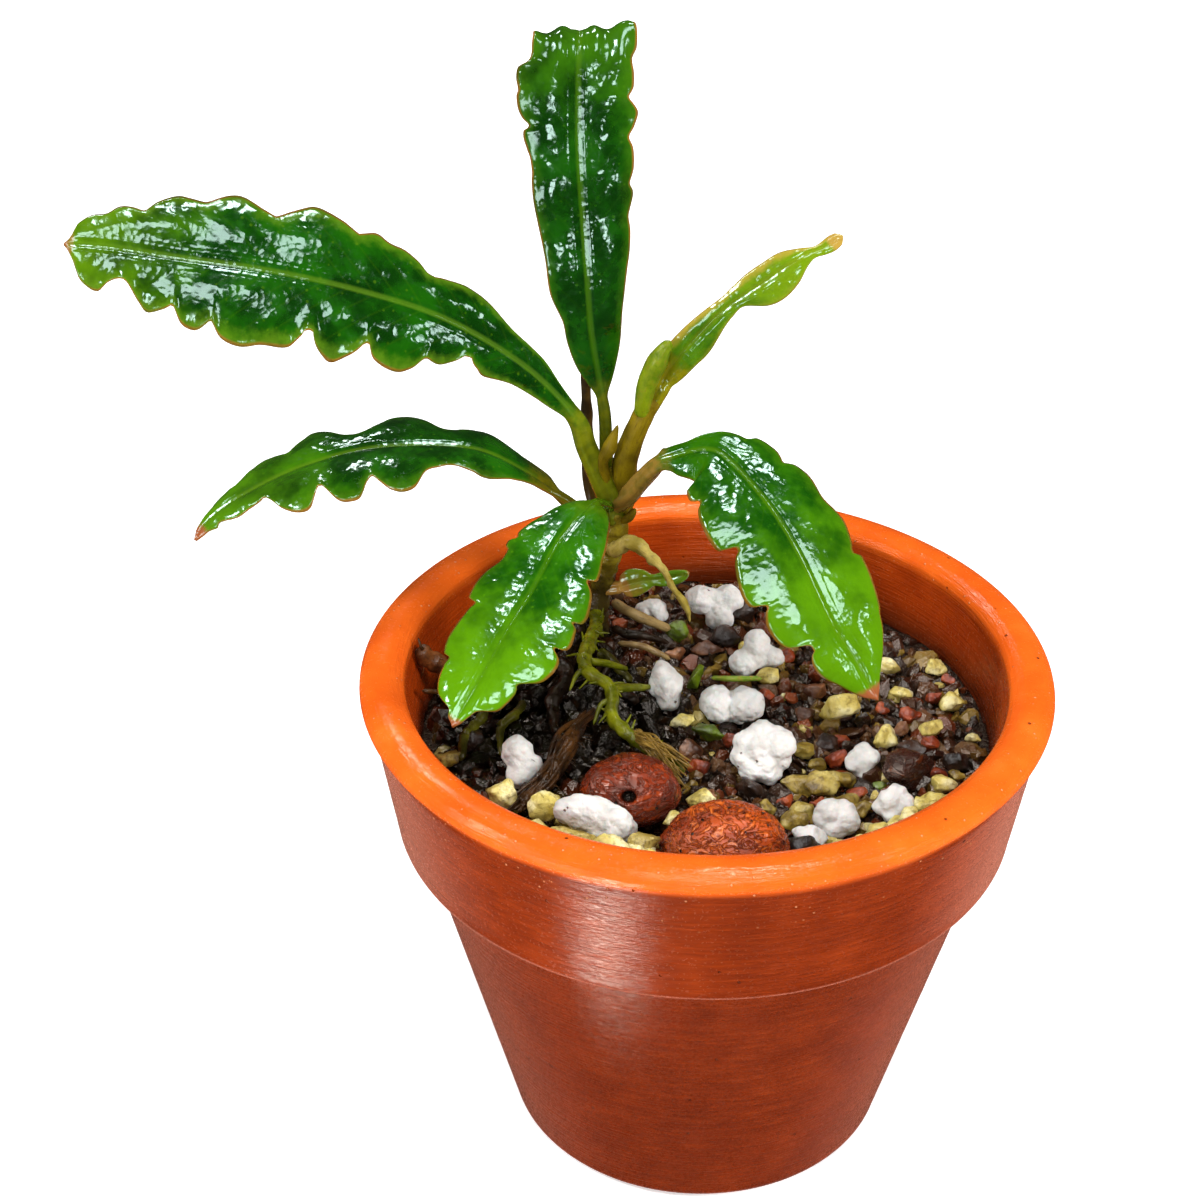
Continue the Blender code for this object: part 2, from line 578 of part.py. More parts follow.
def make_bed():
    """Fills the pot from its floor to the grit's uneven surface, a gap inside the wall."""
    mesh = bmesh.new()
    floor_height = FLOOR_THICKNESS + GAP
    floor_edge = inner_radius_at(floor_height) - GAP - FACET_SLACK
    top_edge = inner_radius_at(BED_LEVEL - BED_RELIEF) - GAP - FACET_SLACK
    rings = []
    for radius in [floor_edge] + [top_edge * (BED_RINGS - i) / BED_RINGS for i in range(BED_RINGS)]:
        ring = []
        for k in range(BED_SEGMENTS):
            angle = 2 * math.pi * k / BED_SEGMENTS
            x, y = radius * math.cos(angle), radius * math.sin(angle)
            height = bed_height(x, y) if rings else floor_height
            ring.append(mesh.verts.new((x, y, height)))
        rings.append(ring)
    for ring, after in zip(rings, rings[1:]):
        for k in range(BED_SEGMENTS):
            m = (k + 1) % BED_SEGMENTS
            mesh.faces.new((ring[k], ring[m], after[m], after[k]))
    mesh.faces.new(rings[0][::-1])
    centre = mesh.verts.new((0.0, 0.0, bed_height(0.0, 0.0)))
    for k in range(BED_SEGMENTS):
        mesh.faces.new((rings[-1][k], rings[-1][(k + 1) % BED_SEGMENTS], centre))
    add_piece("grit_bed", mesh, "wet_grit")


def rest_on_bed(mesh, x, y):
    """Moves a stone to x, y and up or down until it stands a gap above the grit."""
    reach = max(vert.co.xy.length for vert in mesh.verts)
    around = [(x, y)]
    for share in (0.35, 0.7):
        for quarter in range(4):
            angle = quarter * math.pi / 2
            around.append((x + share * reach * math.cos(angle), y + share * reach * math.sin(angle)))
    ground = max(bed_height(*place) for place in around)
    lowest = min(vert.co.z for vert in mesh.verts)
    bmesh.ops.translate(mesh, vec=(x, y, ground + GAP - lowest), verts=mesh.verts)


def make_lump(name, stone, seed, roughness, finish_name, detail=2):
    """A rounded stone whose surface is pushed in and out by noise."""
    x, y, width, depth, height = stone
    mesh = bmesh.new()
    bmesh.ops.create_icosphere(mesh, subdivisions=detail, radius=1.0)
    for vert in mesh.verts:
        push = 1 + roughness * noise.noise(vert.co * LUMP_PITCH + Vector((seed * 7.3, seed * 3.1, seed)))
        vert.co = Vector((vert.co.x * width, vert.co.y * depth, vert.co.z * height)) * push / 2
    rest_on_bed(mesh, x, y)
    add_piece(name, mesh, finish_name)


def make_chip(name, stone, seed, finish_name):
    """An angular stone: the hull of a few points on an ellipsoid."""
    x, y, width, depth, height = stone
    rng = random.Random(seed)
    mesh = bmesh.new()
    for _ in range(CHIP_CORNERS):
        point = Vector((rng.gauss(0, 1), rng.gauss(0, 1), rng.gauss(0, 1))).normalized()
        mesh.verts.new((point.x * width / 2, point.y * depth / 2, point.z * height / 2))
    hull = bmesh.ops.convex_hull(mesh, input=mesh.verts)
    bmesh.ops.delete(mesh, geom=hull["geom_interior"], context="VERTS")
    rest_on_bed(mesh, x, y)
    add_piece(name, mesh, finish_name)


def make_stones():
    for i, stone in enumerate(CLAY_BALLS, start=1):
        make_lump(f"clay_ball_{i}", stone, 40 + i, CLAY_ROUGHNESS, "fired_clay", detail=3)
    for i, stone in enumerate(PERLITE, start=1):
        make_lump(f"perlite_{i}", stone, i, PERLITE_ROUGHNESS, "perlite_white")
    for i, stone in enumerate(ZEOLITE, start=1):
        make_chip(f"zeolite_{i}", stone, 100 + i, "zeolite_cream")
    for i, piece in enumerate(LEAF_BITS, start=1):
        make_chip(f"leaf_bit_{i}", piece, 60 + i, "leaf_green")
    make_lump("lump_dark", LUMP_DARK, 61, LUMP_ROUGHNESS, "fired_clay")


def main():
    clear_scene()
    make_pot()
    make_bed()
    for name, leaf in LEAVES.items():
        make_leaf(name, leaf)
    for name, tube in TUBES.items():
        make_tube(name, tube)
    make_stones()


main()
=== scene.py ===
"""The looks of a small bucephalandra in a terracotta pot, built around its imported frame.

Sizes and places are in millimetres, in the frame's own axes, and become metres where a mesh is made.
A point of a leaf is known by how far along it lies, from 0 at the foot of the stalk to 1 at the tip,
and how far across, from -1 at the left edge to 1 at the right, and the leaf's finish reads both.
"""

import math
import random

import bmesh
import bpy
import numpy as np
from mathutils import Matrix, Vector, noise


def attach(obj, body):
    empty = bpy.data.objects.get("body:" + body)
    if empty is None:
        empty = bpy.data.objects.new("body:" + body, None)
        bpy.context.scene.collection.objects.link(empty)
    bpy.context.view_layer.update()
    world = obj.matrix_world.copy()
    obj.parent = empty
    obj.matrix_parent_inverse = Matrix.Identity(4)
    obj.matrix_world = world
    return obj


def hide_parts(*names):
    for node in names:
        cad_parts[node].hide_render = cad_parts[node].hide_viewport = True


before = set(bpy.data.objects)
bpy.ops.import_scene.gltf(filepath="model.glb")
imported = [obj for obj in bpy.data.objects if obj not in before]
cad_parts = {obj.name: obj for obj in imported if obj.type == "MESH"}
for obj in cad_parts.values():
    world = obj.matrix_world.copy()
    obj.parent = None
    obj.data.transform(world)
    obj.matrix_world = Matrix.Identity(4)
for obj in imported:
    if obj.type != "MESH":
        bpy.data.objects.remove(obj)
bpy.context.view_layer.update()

MM = 0.001
# The pale colour of the light on wet leaves
WET_TINT = (0.66, 0.9, 0.84, 1.0)
# The same for the pot, stalks, roots and ground
WARM_TINT = (1.0, 0.78, 0.58, 1.0)

# The camera of the photograph
CAMERA_PLACE = (-10.1, -205.5, 189.3)
CAMERA_TILT_DOWN = 32.454
CAMERA_LENS = 78.0
CAMERA_SENSOR = 36.0

# The pot
POT_HEIGHT = 51.7
RIM_RADIUS = 33.0
LIP_CREST_RADIUS = 30.7
LIP_INNER_RADIUS = 28.7
LIP_HEIGHT = 2.6
LIP_NOTCH_RADIUS = 32.1
COLLAR_HEIGHT = 16.7
COLLAR_FOOT_RADIUS = 30.05
COLLAR_CORNER = 1.3
BODY_TOP_RADIUS = 27.85
LIP_FOOT = POT_HEIGHT - LIP_HEIGHT
COLLAR_FOOT = POT_HEIGHT - COLLAR_HEIGHT
BASE_RADIUS = 19.2
BASE_CORNER = 1.5
FLOOR_THICKNESS = 4.0
FLOOR_RADIUS = 15.6
WALL_RADIUS_AT_BED = 27.4

# The bed of grit, and the hollows in it under the clay balls: x, y, radius and depth
BED_LEVEL = 43.8
BED_RELIEF = 0.35
BED_GRAIN = 3.1
BED_SEATS = [(-7.3, -13.3, 6.5, 1.0), (1.0, -21.5, 7.5, 1.7)]
BED_RINGS = 70
BED_SEGMENTS = 180
# The middle and the reach of the shadow painted into the grit under the leaves, where the roots lie
SHADED_CORNER = (-15.0, 2.0, 45.0)
PAINTED_SHADE_REACH = 16.5

# The leaves: spine points, with those that root them inside the stem, the way the upper side faces, the
# stalk's end along the spine with its foot and neck radius, the outline left and right of the midrib as
# place along the spine and half width, and how far the notches on each side curl up. An ear is where the
# edge stands up: its place, its span along the spine and its height. The swell is the height of the blade's
# broad unevenness, the crinkle that of the folds over its bent top, and the lobes end where it bends over.
LEAVES = {
    "leaf_upright": {
        "root": [(-9, 16.2, 58.6), (-9.2, 16.4, 61.6)],
        "spine": [(-9.5, 16.5, 65.2), (-9.6, 16.5, 68.8), (-9.9, 16.6, 71.3), (-10.9, 17.2, 77.7),
            (-11.3, 18, 82.9), (-11.7, 19.5, 88.2), (-12.1, 21, 94.8), (-12.1, 23, 100.6),
            (-12, 24.4, 103.5), (-12, 26.2, 104.2), (-12, 27.6, 103.7)],
        "face": (0, -1, 0.9), "stalk": (0.14, 0.65, 0.6),
        "left": [(0.14, 0.5), (0.16, 0.8), (0.22, 1.9), (0.28, 2.4), (0.33, 2.6), (0.39, 3.6), (0.47, 3.8),
            (0.56, 4.3), (0.6, 4.5), (0.64, 4.5), (0.66, 4.4), (0.69, 4.5), (0.71, 4.8), (0.73, 5.1),
            (0.745, 5), (0.755, 4.5), (0.77, 5.1), (0.79, 5.6), (0.815, 5.7), (0.83, 5.5), (0.855, 5.8),
            (0.875, 5.7), (0.885, 4.7), (0.9, 4.3), (0.93, 4.3), (0.96, 3.8), (1, 0.6)],
        "right": [(0.14, 0.5), (0.25, 2.5), (0.35, 3.2), (0.43, 3.8), (0.475, 4.2), (0.52, 4.4),
            (0.555, 4.3), (0.6, 4.9), (0.625, 4.6), (0.66, 5.1), (0.7, 5.1), (0.73, 4.7), (0.755, 5.2),
            (0.785, 5.6), (0.815, 4.7), (0.84, 5.1), (0.87, 5.1), (0.9, 4.8), (0.925, 5.3), (0.95, 5.2),
            (0.97, 4), (1, 0.6)],
        "curl": (0.8, 0.8), "crinkle": 0.25,
        "ears": {"left": (0.935, 0.02, 0.9), "right": (0.95, 0.02, 1.7)}, "lobes_end": 0.95, "swell": 0.35,
    },
    "leaf_long_left": {
        "root": [(-8.6, 15.4, 58.4)],
        "spine": [(-9.2, 14.9, 60.9), (-11.3, 14.7, 66.5), (-12.7, 14.5, 70.5), (-17.4, 14, 76),
            (-24.5, 13, 81.3), (-32.3, 12, 84.7), (-40.4, 11, 87.2), (-48.4, 10, 89), (-54.2, 9, 90.5),
            (-58.1, 8, 91.3)],
        "face": (0, -0.7, 0.72), "stalk": (0.17, 1.15, 0.95),
        "left": [(0.17, 0.8), (0.2, 1.3), (0.25, 1.8), (0.29, 2.2), (0.33, 3), (0.35, 2.7), (0.375, 2.4),
            (0.39, 3.2), (0.41, 4.1), (0.44, 4.3), (0.455, 5.5), (0.48, 6.4), (0.52, 5.9), (0.54, 5),
            (0.56, 6), (0.585, 7.1), (0.61, 6.3), (0.63, 5.1), (0.645, 5.8), (0.66, 6.7), (0.7, 7),
            (0.73, 7.5), (0.76, 7), (0.78, 5.8), (0.8, 6.5), (0.82, 6.1), (0.835, 4.8), (0.85, 5),
            (0.87, 5.4), (0.885, 4.5), (0.905, 3.2), (0.92, 2.9), (0.935, 3.2), (0.95, 4.1), (0.975, 3.4),
            (0.99, 1.6), (1, 0.5)],
        "right": [(0.17, 0.7), (0.22, 1.1), (0.26, 1.8), (0.29, 2), (0.33, 2.4), (0.37, 3.4), (0.41, 3.9),
            (0.44, 3.6), (0.47, 3.5), (0.49, 4.5), (0.51, 5.2), (0.535, 5.4), (0.555, 6), (0.58, 5.4),
            (0.605, 6.1), (0.63, 6.9), (0.65, 7.2), (0.68, 6), (0.7, 5.4), (0.72, 5.7), (0.75, 6.9),
            (0.77, 6.8), (0.8, 5.6), (0.825, 5.8), (0.845, 6.1), (0.87, 5.1), (0.89, 3.9), (0.91, 4.1),
            (0.925, 4.1), (0.94, 3.2), (0.96, 3), (0.98, 2), (0.99, 1.1), (1, 0.3)],
        "curl": (0.9, 0.4), "swell": 0.22,
    },
    "leaf_low_left": {
        "root": [(-9.2, 15.7, 56.6)],
        "spine": [(-11.4, 15, 58.7), (-13.4, 14.8, 60.7), (-17.6, 15, 63.9), (-22.9, 15, 66.4),
            (-31.6, 14, 67), (-38.6, 12.5, 65.8), (-44.2, 11, 63.6), (-47.7, 10, 61.4), (-49.1, 9, 59.7)],
        "face": (0, -0.1, 1), "stalk": (0.09, 0.7, 0.6),
        "left": [(0.09, 0.6), (0.16, 1.1), (0.21, 2.1), (0.275, 3.8), (0.32, 3.5), (0.365, 3.1), (0.4, 3.6),
            (0.43, 4.5), (0.455, 6.4), (0.485, 7.1), (0.515, 6.5), (0.545, 5.3), (0.57, 5.4), (0.595, 7),
            (0.62, 7.2), (0.645, 6.6), (0.67, 4.8), (0.69, 4.8), (0.715, 6.1), (0.745, 6), (0.775, 4.6),
            (0.8, 2.6), (0.84, 2.2), (0.88, 2.4), (0.925, 1.4), (0.94, 1.6), (0.97, 0.8), (1, 0.35)],
        "right": [(0.09, 0.7), (0.12, 1.7), (0.2, 2.2), (0.25, 2.8), (0.285, 3.6), (0.32, 3.3), (0.365, 2.8),
            (0.39, 3.2), (0.415, 4.5), (0.45, 5.4), (0.49, 5.2), (0.525, 4), (0.56, 2.8), (0.6, 3.2),
            (0.63, 4.9), (0.665, 5.1), (0.7, 3.9), (0.725, 2.9), (0.755, 3.5), (0.78, 3.7), (0.82, 3),
            (0.855, 2), (0.88, 2), (0.91, 1.8), (0.94, 0.8), (1, 0.35)],
        "curl": (0.5, 0.3),
    },
    "leaf_front_left": {
        "root": [(-8.9, 15.4, 59.4)],
        "spine": [(-9.7, 13.3, 61.2), (-11.3, 10, 62.8), (-14, 5, 61.9), (-16.5, 0, 59.5), (-19, -4.6, 57.5),
            (-21.2, -9, 55.3), (-23.5, -12.5, 52.9)],
        "face": (0, -0.3, 0.95), "stalk": (0.07, 0.6, 0.55),
        "left": [(0.07, 0.6), (0.1, 1.5), (0.155, 2.9), (0.22, 3.8), (0.27, 4.4), (0.325, 4.8), (0.39, 5.2),
            (0.41, 4.5), (0.45, 5.4), (0.51, 6), (0.54, 5.9), (0.555, 5.2), (0.57, 5.7), (0.62, 6.1),
            (0.645, 5.8), (0.66, 5), (0.69, 5.8), (0.73, 5.9), (0.775, 5.3), (0.8, 4), (0.815, 3.5),
            (0.84, 3.5), (0.87, 3.3), (0.9, 2.9), (0.925, 1.4), (0.955, 0.8), (1, 0.3)],
        "right": [(0.07, 0.6), (0.1, 0.8), (0.14, 1.8), (0.19, 2.6), (0.24, 3), (0.28, 3.6), (0.32, 4),
            (0.345, 3.8), (0.355, 4.6), (0.375, 4.6), (0.395, 4), (0.44, 4.2), (0.48, 5), (0.52, 5.2),
            (0.57, 5.3), (0.595, 5.1), (0.61, 4.2), (0.64, 4.4), (0.7, 4.7), (0.76, 4.7), (0.79, 4.4),
            (0.805, 3.7), (0.84, 3.8), (0.875, 3.7), (0.92, 3.2), (0.94, 2.2), (0.955, 1.2), (0.98, 0.8),
            (1, 0.3)],
        "curl": (0.5, 0.5), "swell": 0.12,
    },
    "leaf_right": {
        "root": [(-8.6, 15.5, 59.8)],
        "spine": [(-7.4, 13.9, 61.8), (-5.9, 12.8, 64.4), (-3.9, 11.5, 67.1), (0, 10.5, 68.8),
            (2.3, 9, 68.2), (5.8, 5, 65.7), (8.4, 1, 62.9), (11.3, -4, 58.5), (13.5, -6, 55.8),
            (15.5, -8, 52.7)],
        "face": (0.1, -0.5, 0.85), "stalk": (0.16, 1, 0.85),
        "left": [(0.15, 1.2), (0.165, 1.7), (0.18, 1.3), (0.23, 1.2), (0.27, 1.9), (0.31, 2.7), (0.325, 3),
            (0.335, 4.2), (0.37, 4.5), (0.41, 4.1), (0.43, 5), (0.465, 5.4), (0.51, 5.1), (0.535, 5.2),
            (0.58, 5.8), (0.62, 5.5), (0.66, 5), (0.675, 5.7), (0.735, 5.6), (0.8, 5.2), (0.865, 4.6),
            (0.895, 3.4), (0.94, 1.8), (0.97, 0.9), (1, 0.3)],
        "right": [(0.15, 0.9), (0.18, 1.5), (0.2, 2.2), (0.24, 3.2), (0.28, 4.3), (0.32, 5.2), (0.36, 5.8),
            (0.385, 5.3), (0.405, 6), (0.44, 6.6), (0.49, 6.9), (0.53, 6.7), (0.54, 5.9), (0.555, 5.2),
            (0.595, 6.1), (0.65, 6.7), (0.695, 6.5), (0.71, 5.2), (0.725, 5.3), (0.76, 5.7), (0.8, 5.1),
            (0.82, 3.1), (0.85, 3.7), (0.89, 3.7), (0.93, 2.6), (0.97, 1.4), (1, 0.3)],
        "curl": (0.5, 0.5), "swell": 0.18,
    },
    "leaf_young": {
        "root": [(-6.3, 14.5, 69.6)],
        "spine": [(-4.6, 14.7, 72.7), (-3.6, 14.6, 75), (-1.6, 14.2, 78.1), (1.3, 14, 81.6), (5.2, 14, 84.7),
            (8.4, 14, 87.1), (10.6, 14.5, 87.9), (12.3, 15, 88.9)],
        "face": (0, -0.85, 0.5), "stalk": (0.04, 0.9, 0.95),
        "left": [(0.04, 1), (0.12, 1.5), (0.2, 1.6), (0.3, 1.5), (0.46, 1.1), (0.53, 1.3), (0.61, 1.6),
            (0.68, 1.6), (0.76, 1.5), (0.83, 0.85), (0.88, 0.5), (0.95, 0.75), (1, 0.5)],
        "right": [(0.04, 1), (0.12, 1.5), (0.2, 1.7), (0.3, 1.8), (0.46, 1), (0.53, 0.8), (0.61, 2),
            (0.68, 2.3), (0.76, 1.9), (0.83, 0.95), (0.88, 0.5), (0.95, 0.75), (1, 0.5)],
        "curl": (0.2, 0.2),
    },
    "shoot_small": {
        "root": [(-9.8, 15.9, 49.8)],
        "spine": [(-8.3, 15.3, 50.4), (-6, 14.8, 51.4), (-3.2, 14, 52.3), (-1.3, 13.5, 53.2)],
        "face": (0, -0.95, 0.4), "stalk": (0.05, 0.7, 0.6),
        "left": [(0.05, 1), (0.2, 1.5), (0.38, 1.2), (0.5, 0.6), (0.62, 0.7), (0.8, 0.75), (0.93, 0.5),
            (1, 0.2)],
        "right": [(0.05, 1), (0.2, 1.4), (0.38, 1.1), (0.5, 0.6), (0.62, 0.75), (0.8, 0.8), (0.93, 0.55),
            (1, 0.2)],
        "curl": (0.1, 0.1),
    },
}
LEAF_STATIONS = 260
LEAF_ROWS = 25
ROW_CROWDING = 1.4
BLADE_THICKNESS = 0.5
EDGE_THINNING = 0.5
BLADE_BULGE = 0.07
FLATTEN_FROM = 0.7
FLAT_AFTER = 0.04
# The outline smoothed over this share of the length is what notches and lobes stand out from
OUTLINE_SPAN = 0.05
# How far an edge's even waves turn into round lobes with sharp notches between them
SCALLOP = 0.55
SCALLOP_WINDOW = 25
CURL_DEPTH = 3.0
CURL_LIMIT = 1.0
# The crinkles that run over the bent top of the upright leaf
CRINKLE_FROM = 0.86
CRINKLE_PITCH = 2.8
CRINKLE_SHIFT = 1.6
# The groove over the midrib, its shoulders, the side veins and the puckers between them
RIB_WIDTH = 0.3
RIB_GROOVE = 0.1
RIB_KEEL = 0.25
RIB_SHOULDER = 0.03
VEIN_PITCH = 2.4
VEIN_SLANT = 1.15
VEIN_GROOVE = 0.025
CREASE_PITCH = 0.5
CREASE_REACH = 1.6
PUCKER = 0.1

# How high the lumps of a plain skin are, as a share of the radius, and how far apart
PLAIN_LUMPS = (0.1, 1.1)
# Stem, sheaths, stalks and roots
TUBES = {
    # name: finish, lumps of its skin, how many of its first points root it inside the piece that carries it,
    # the points of its path, and its radii at even steps from the last of these roots to the end
    "rhizome": ("stem_olive", (0.14, 1.3), 0, [(-11.2, 16.3, 44.5), (-10.8, 16.2, 47.5), (-9.7, 16, 51.4),
        (-9, 16, 55), (-8.7, 16, 58), (-8.8, 15.8, 60.3), (-8.7, 15.6, 62.2), (-8.6, 15.5, 63.8)],
        [1.9, 1.6, 1.15, 1.2, 1.3, 1.5, 1.35, 0.7]),
    "sheath_young": ("sheath_olive", (0.06, 3.2), 1, [(-8.5, 16, 58.4), (-7.6, 15.7, 60.7),
        (-7.7, 15.1, 64.4), (-7, 14.6, 67.6), (-5.9, 14.5, 70.6), (-5.2, 14.5, 72.2)],
        [1.1, 1.25, 1.15, 1.05, 1.1]),
    "sheath_bud": ("young_bud", (0.06, 3), 1, [(-6, 14.3, 70.8), (-5.9, 13.7, 72.8), (-5.5, 13.6, 74.6),
        (-4.4, 13.4, 77.4), (-3.7, 13.4, 78.6)], [0.85, 1, 1, 0.55]),
    "sheath_small": ("sheath_olive", (0.08, 2.4), 1, [(-9.4, 14.8, 62.6), (-9.8, 13.9, 65.6),
        (-9.2, 13.5, 67.4), (-8.5, 13.4, 69.6)], [0.5, 0.75, 0.2]),
    "stalk_old": ("stalk_dead", (0.14, 2.4), 1, [(-9.2, 16.4, 55.6), (-10.3, 17.7, 57), (-11.2, 19.2, 60),
        (-11.3, 19.6, 64), (-11.5, 20, 72.4)], [0.55, 0.6, 0.6, 0.45]),
    "bud_tiny": ("sheath_olive", PLAIN_LUMPS, 1, [(-8.2, 15.4, 58.2), (-7.3, 14.5, 59), (-6.8, 14.2, 59.9)],
        [0.45, 0.35]),
    "stub_bent": ("stub_pale", (0.26, 1), 1, [(-9.1, 15.8, 55), (-8.6, 14.1, 55.6), (-7.3, 13, 57.1),
        (-5.6, 12, 56.5), (-3.8, 11, 55), (-2.9, 10.5, 53.2), (-1.6, 10, 51.4), (-1.3, 10, 50)],
        [0.75, 0.75, 0.7, 0.55, 0.35, 0.3, 0.4, 0.15]),
    "root_main": ("root_green", (0.16, 1.1), 1, [(-10.8, 15.8, 47.4), (-10.4, 13.5, 47.6), (-11, 9.6, 48),
        (-11.6, 5.3, 48.5), (-11.2, 2.9, 48.5), (-9.3, 0.8, 48.4), (-8.9, -1.2, 48), (-8.8, -4.1, 47.8),
        (-6.4, -6.4, 46.8), (-3.4, -7.2, 45.6), (-2.4, -8.4, 45.1)],
        [0.7, 0.65, 0.7, 0.7, 0.65, 0.6, 0.65, 0.6, 0.8, 0.3]),
    "root_olive": ("root_mossy", (0.3, 0.9), 0, [(-9.9, 9.8, 46.3), (-8.2, 8, 45.4), (-7.2, 7, 44.8)],
        [0.5, 0.5, 0.4]),
    "root_pale": ("root_pale", PLAIN_LUMPS, 0, [(-8.6, 17.4, 47.2), (-6.5, 15.8, 46.8), (-3.3, 15.2, 45.6)],
        [0.5, 0.55, 0.45]),
    "root_black": ("root_black", PLAIN_LUMPS, 0, [(-8.6, 14.6, 45.9), (-7.3, 14, 45.6), (-5.6, 13.2, 45.9),
        (-3.5, 13.2, 45.2)], [0.45, 0.55, 0.4, 0.25]),
    "root_thin": ("root_pale", PLAIN_LUMPS, 0, [(-8, 12.6, 45.4), (-5.6, 11.7, 45.6), (-3.4, 10.8, 44.9)],
        [0.3, 0.35, 0.3]),
    "root_brown": ("root_brown", (0.3, 0.9), 0, [(-12, -2.6, 46), (-13.2, -6.6, 46.6), (-14.9, -10.8, 46),
        (-17.2, -14, 45.3)], [0.6, 0.8, 0.9, 0.6]),
    "root_stub_wall": ("root_wall", (0.32, 0.9), 0, [(-27.7, 4.6, 49.7), (-26.6, 4.5, 49),
        (-25.2, 4.4, 47.9), (-23.9, 4.2, 46.4)], [0.85, 0.95, 0.9, 0.7]),
    "root_dark_1": ("root_black", (0.4, 1.2), 0, [(-12.4, 13.3, 46.6), (-12.3, 10.6, 47.2),
        (-13.9, 7.6, 46.4), (-13.2, 4.6, 46.8), (-14.6, 2, 45.8), (-14.4, -2.4, 45.4)],
        [0.8, 0.6, 0.9, 0.6, 0.7, 0.4]),
    "root_dark_2": ("root_black", (0.4, 1.2), 0, [(-13.6, 15.2, 46.2), (-14.6, 12.4, 46.9),
        (-16.9, 10.2, 46.3), (-17.6, 7, 46.6), (-19.6, 5.2, 45.6), (-21, 3.6, 45.2)],
        [0.7, 0.8, 0.55, 0.8, 0.5, 0.4]),
    "root_dark_3": ("root_black", (0.4, 1.2), 0, [(-13.7, 17.4, 45.6), (-17.2, 16.2, 46),
        (-20.6, 12.8, 45.6)], [0.6, 0.55, 0.4]),
    "root_dark_4": ("root_black", (0.4, 1.2), 0, [(-9.7, 6.6, 45.1), (-9.4, 4.4, 45.6), (-6.6, 2.6, 45.4)],
        [0.45, 0.5, 0.4]),
    "root_green_1": ("root_mossy", (0.3, 0.9), 0, [(-21.6, 2, 45.6), (-21.4, -1, 46), (-22.9, -3.4, 45.6),
        (-23.2, -6.4, 45)], [0.4, 0.5, 0.45, 0.35]),
    "root_green_2": ("root_mossy", (0.3, 0.9), 0, [(-17.6, 2, 45.4), (-18.2, -0.6, 46), (-19.6, -2.4, 45.6),
        (-19.4, -5.6, 45)], [0.4, 0.45, 0.4, 0.3]),
    "twig_green": ("shoot_pink", PLAIN_LUMPS, 0, [(1.2, 6.9, 45.1), (3, 6.2, 45.5), (5.5, 6.8, 45.1)],
        [0.25, 0.3, 0.25]),
}

# Stones on the bed: x and y of the middle, then width, depth and height
CLAY_BALLS = [(-7.3, -13.3, 9.4, 7.8, 6.4), (1, -21.5, 11.8, 9.4, 7.4)]
PERLITE = [
    (1.7, 18.9, 6.2, 4.8, 4.2), (-4.8, 19.4, 3.5, 3, 2.6), (5.5, 10.3, 5.6, 4.6, 4),
    (-3.7, 4.4, 3.5, 4.6, 4.2), (2.7, 1.8, 6.4, 4.4, 3.4), (5.2, -7.3, 6.3, 5.4, 5),
    (-17.4, -8.6, 3.9, 4.4, 4.6), (-10.5, -19.1, 7.6, 4.2, 5), (11.4, -16.5, 4.4, 3.6, 3.4),
    (16.8, -14.1, 3.9, 3.4, 3.2), (14.6, -6.9, 3.4, 3.2, 2.8), (8.9, -18.9, 3.3, 2.6, 2.4),
]
ZEOLITE = [
    (13.1, 0.7, 4, 3.2, 3.8), (-19.1, -13.5, 2.9, 2.6, 2.9), (-15.3, -15.4, 2.9, 2.6, 2.9),
    (-6.6, -23.2, 3.2, 2.6, 2.2), (-2.2, -0.2, 2.4, 2.1, 2), (24.2, 2.9, 2.5, 2.2, 2.2),
    (17.2, -2.8, 2.5, 2.2, 2.2), (21.7, -1.2, 2.4, 2.1, 2), (23.4, 9.4, 2.3, 2, 2),
    (-0.8, -12.6, 2.8, 2.1, 2), (18.7, 9.7, 2.3, 2, 2),
]
LUMP_DARK = (18.7, -9, 5.2, 4.2, 3.6)
WRINKLE_RINGS = 26
HOLE_REACH = 0.17
LEAF_BITS = [(0.2, -2.4, 3.2, 2.4, 2.6), (-0.7, 6.9, 1.7, 1.8, 2.6)]
# Stones that lean on others and so stand higher than the bed, and by how much
RAISED = {"perlite_8": 1.0, "zeolite_2": 0.6, "zeolite_3": 1.0, "zeolite_4": 1.6}
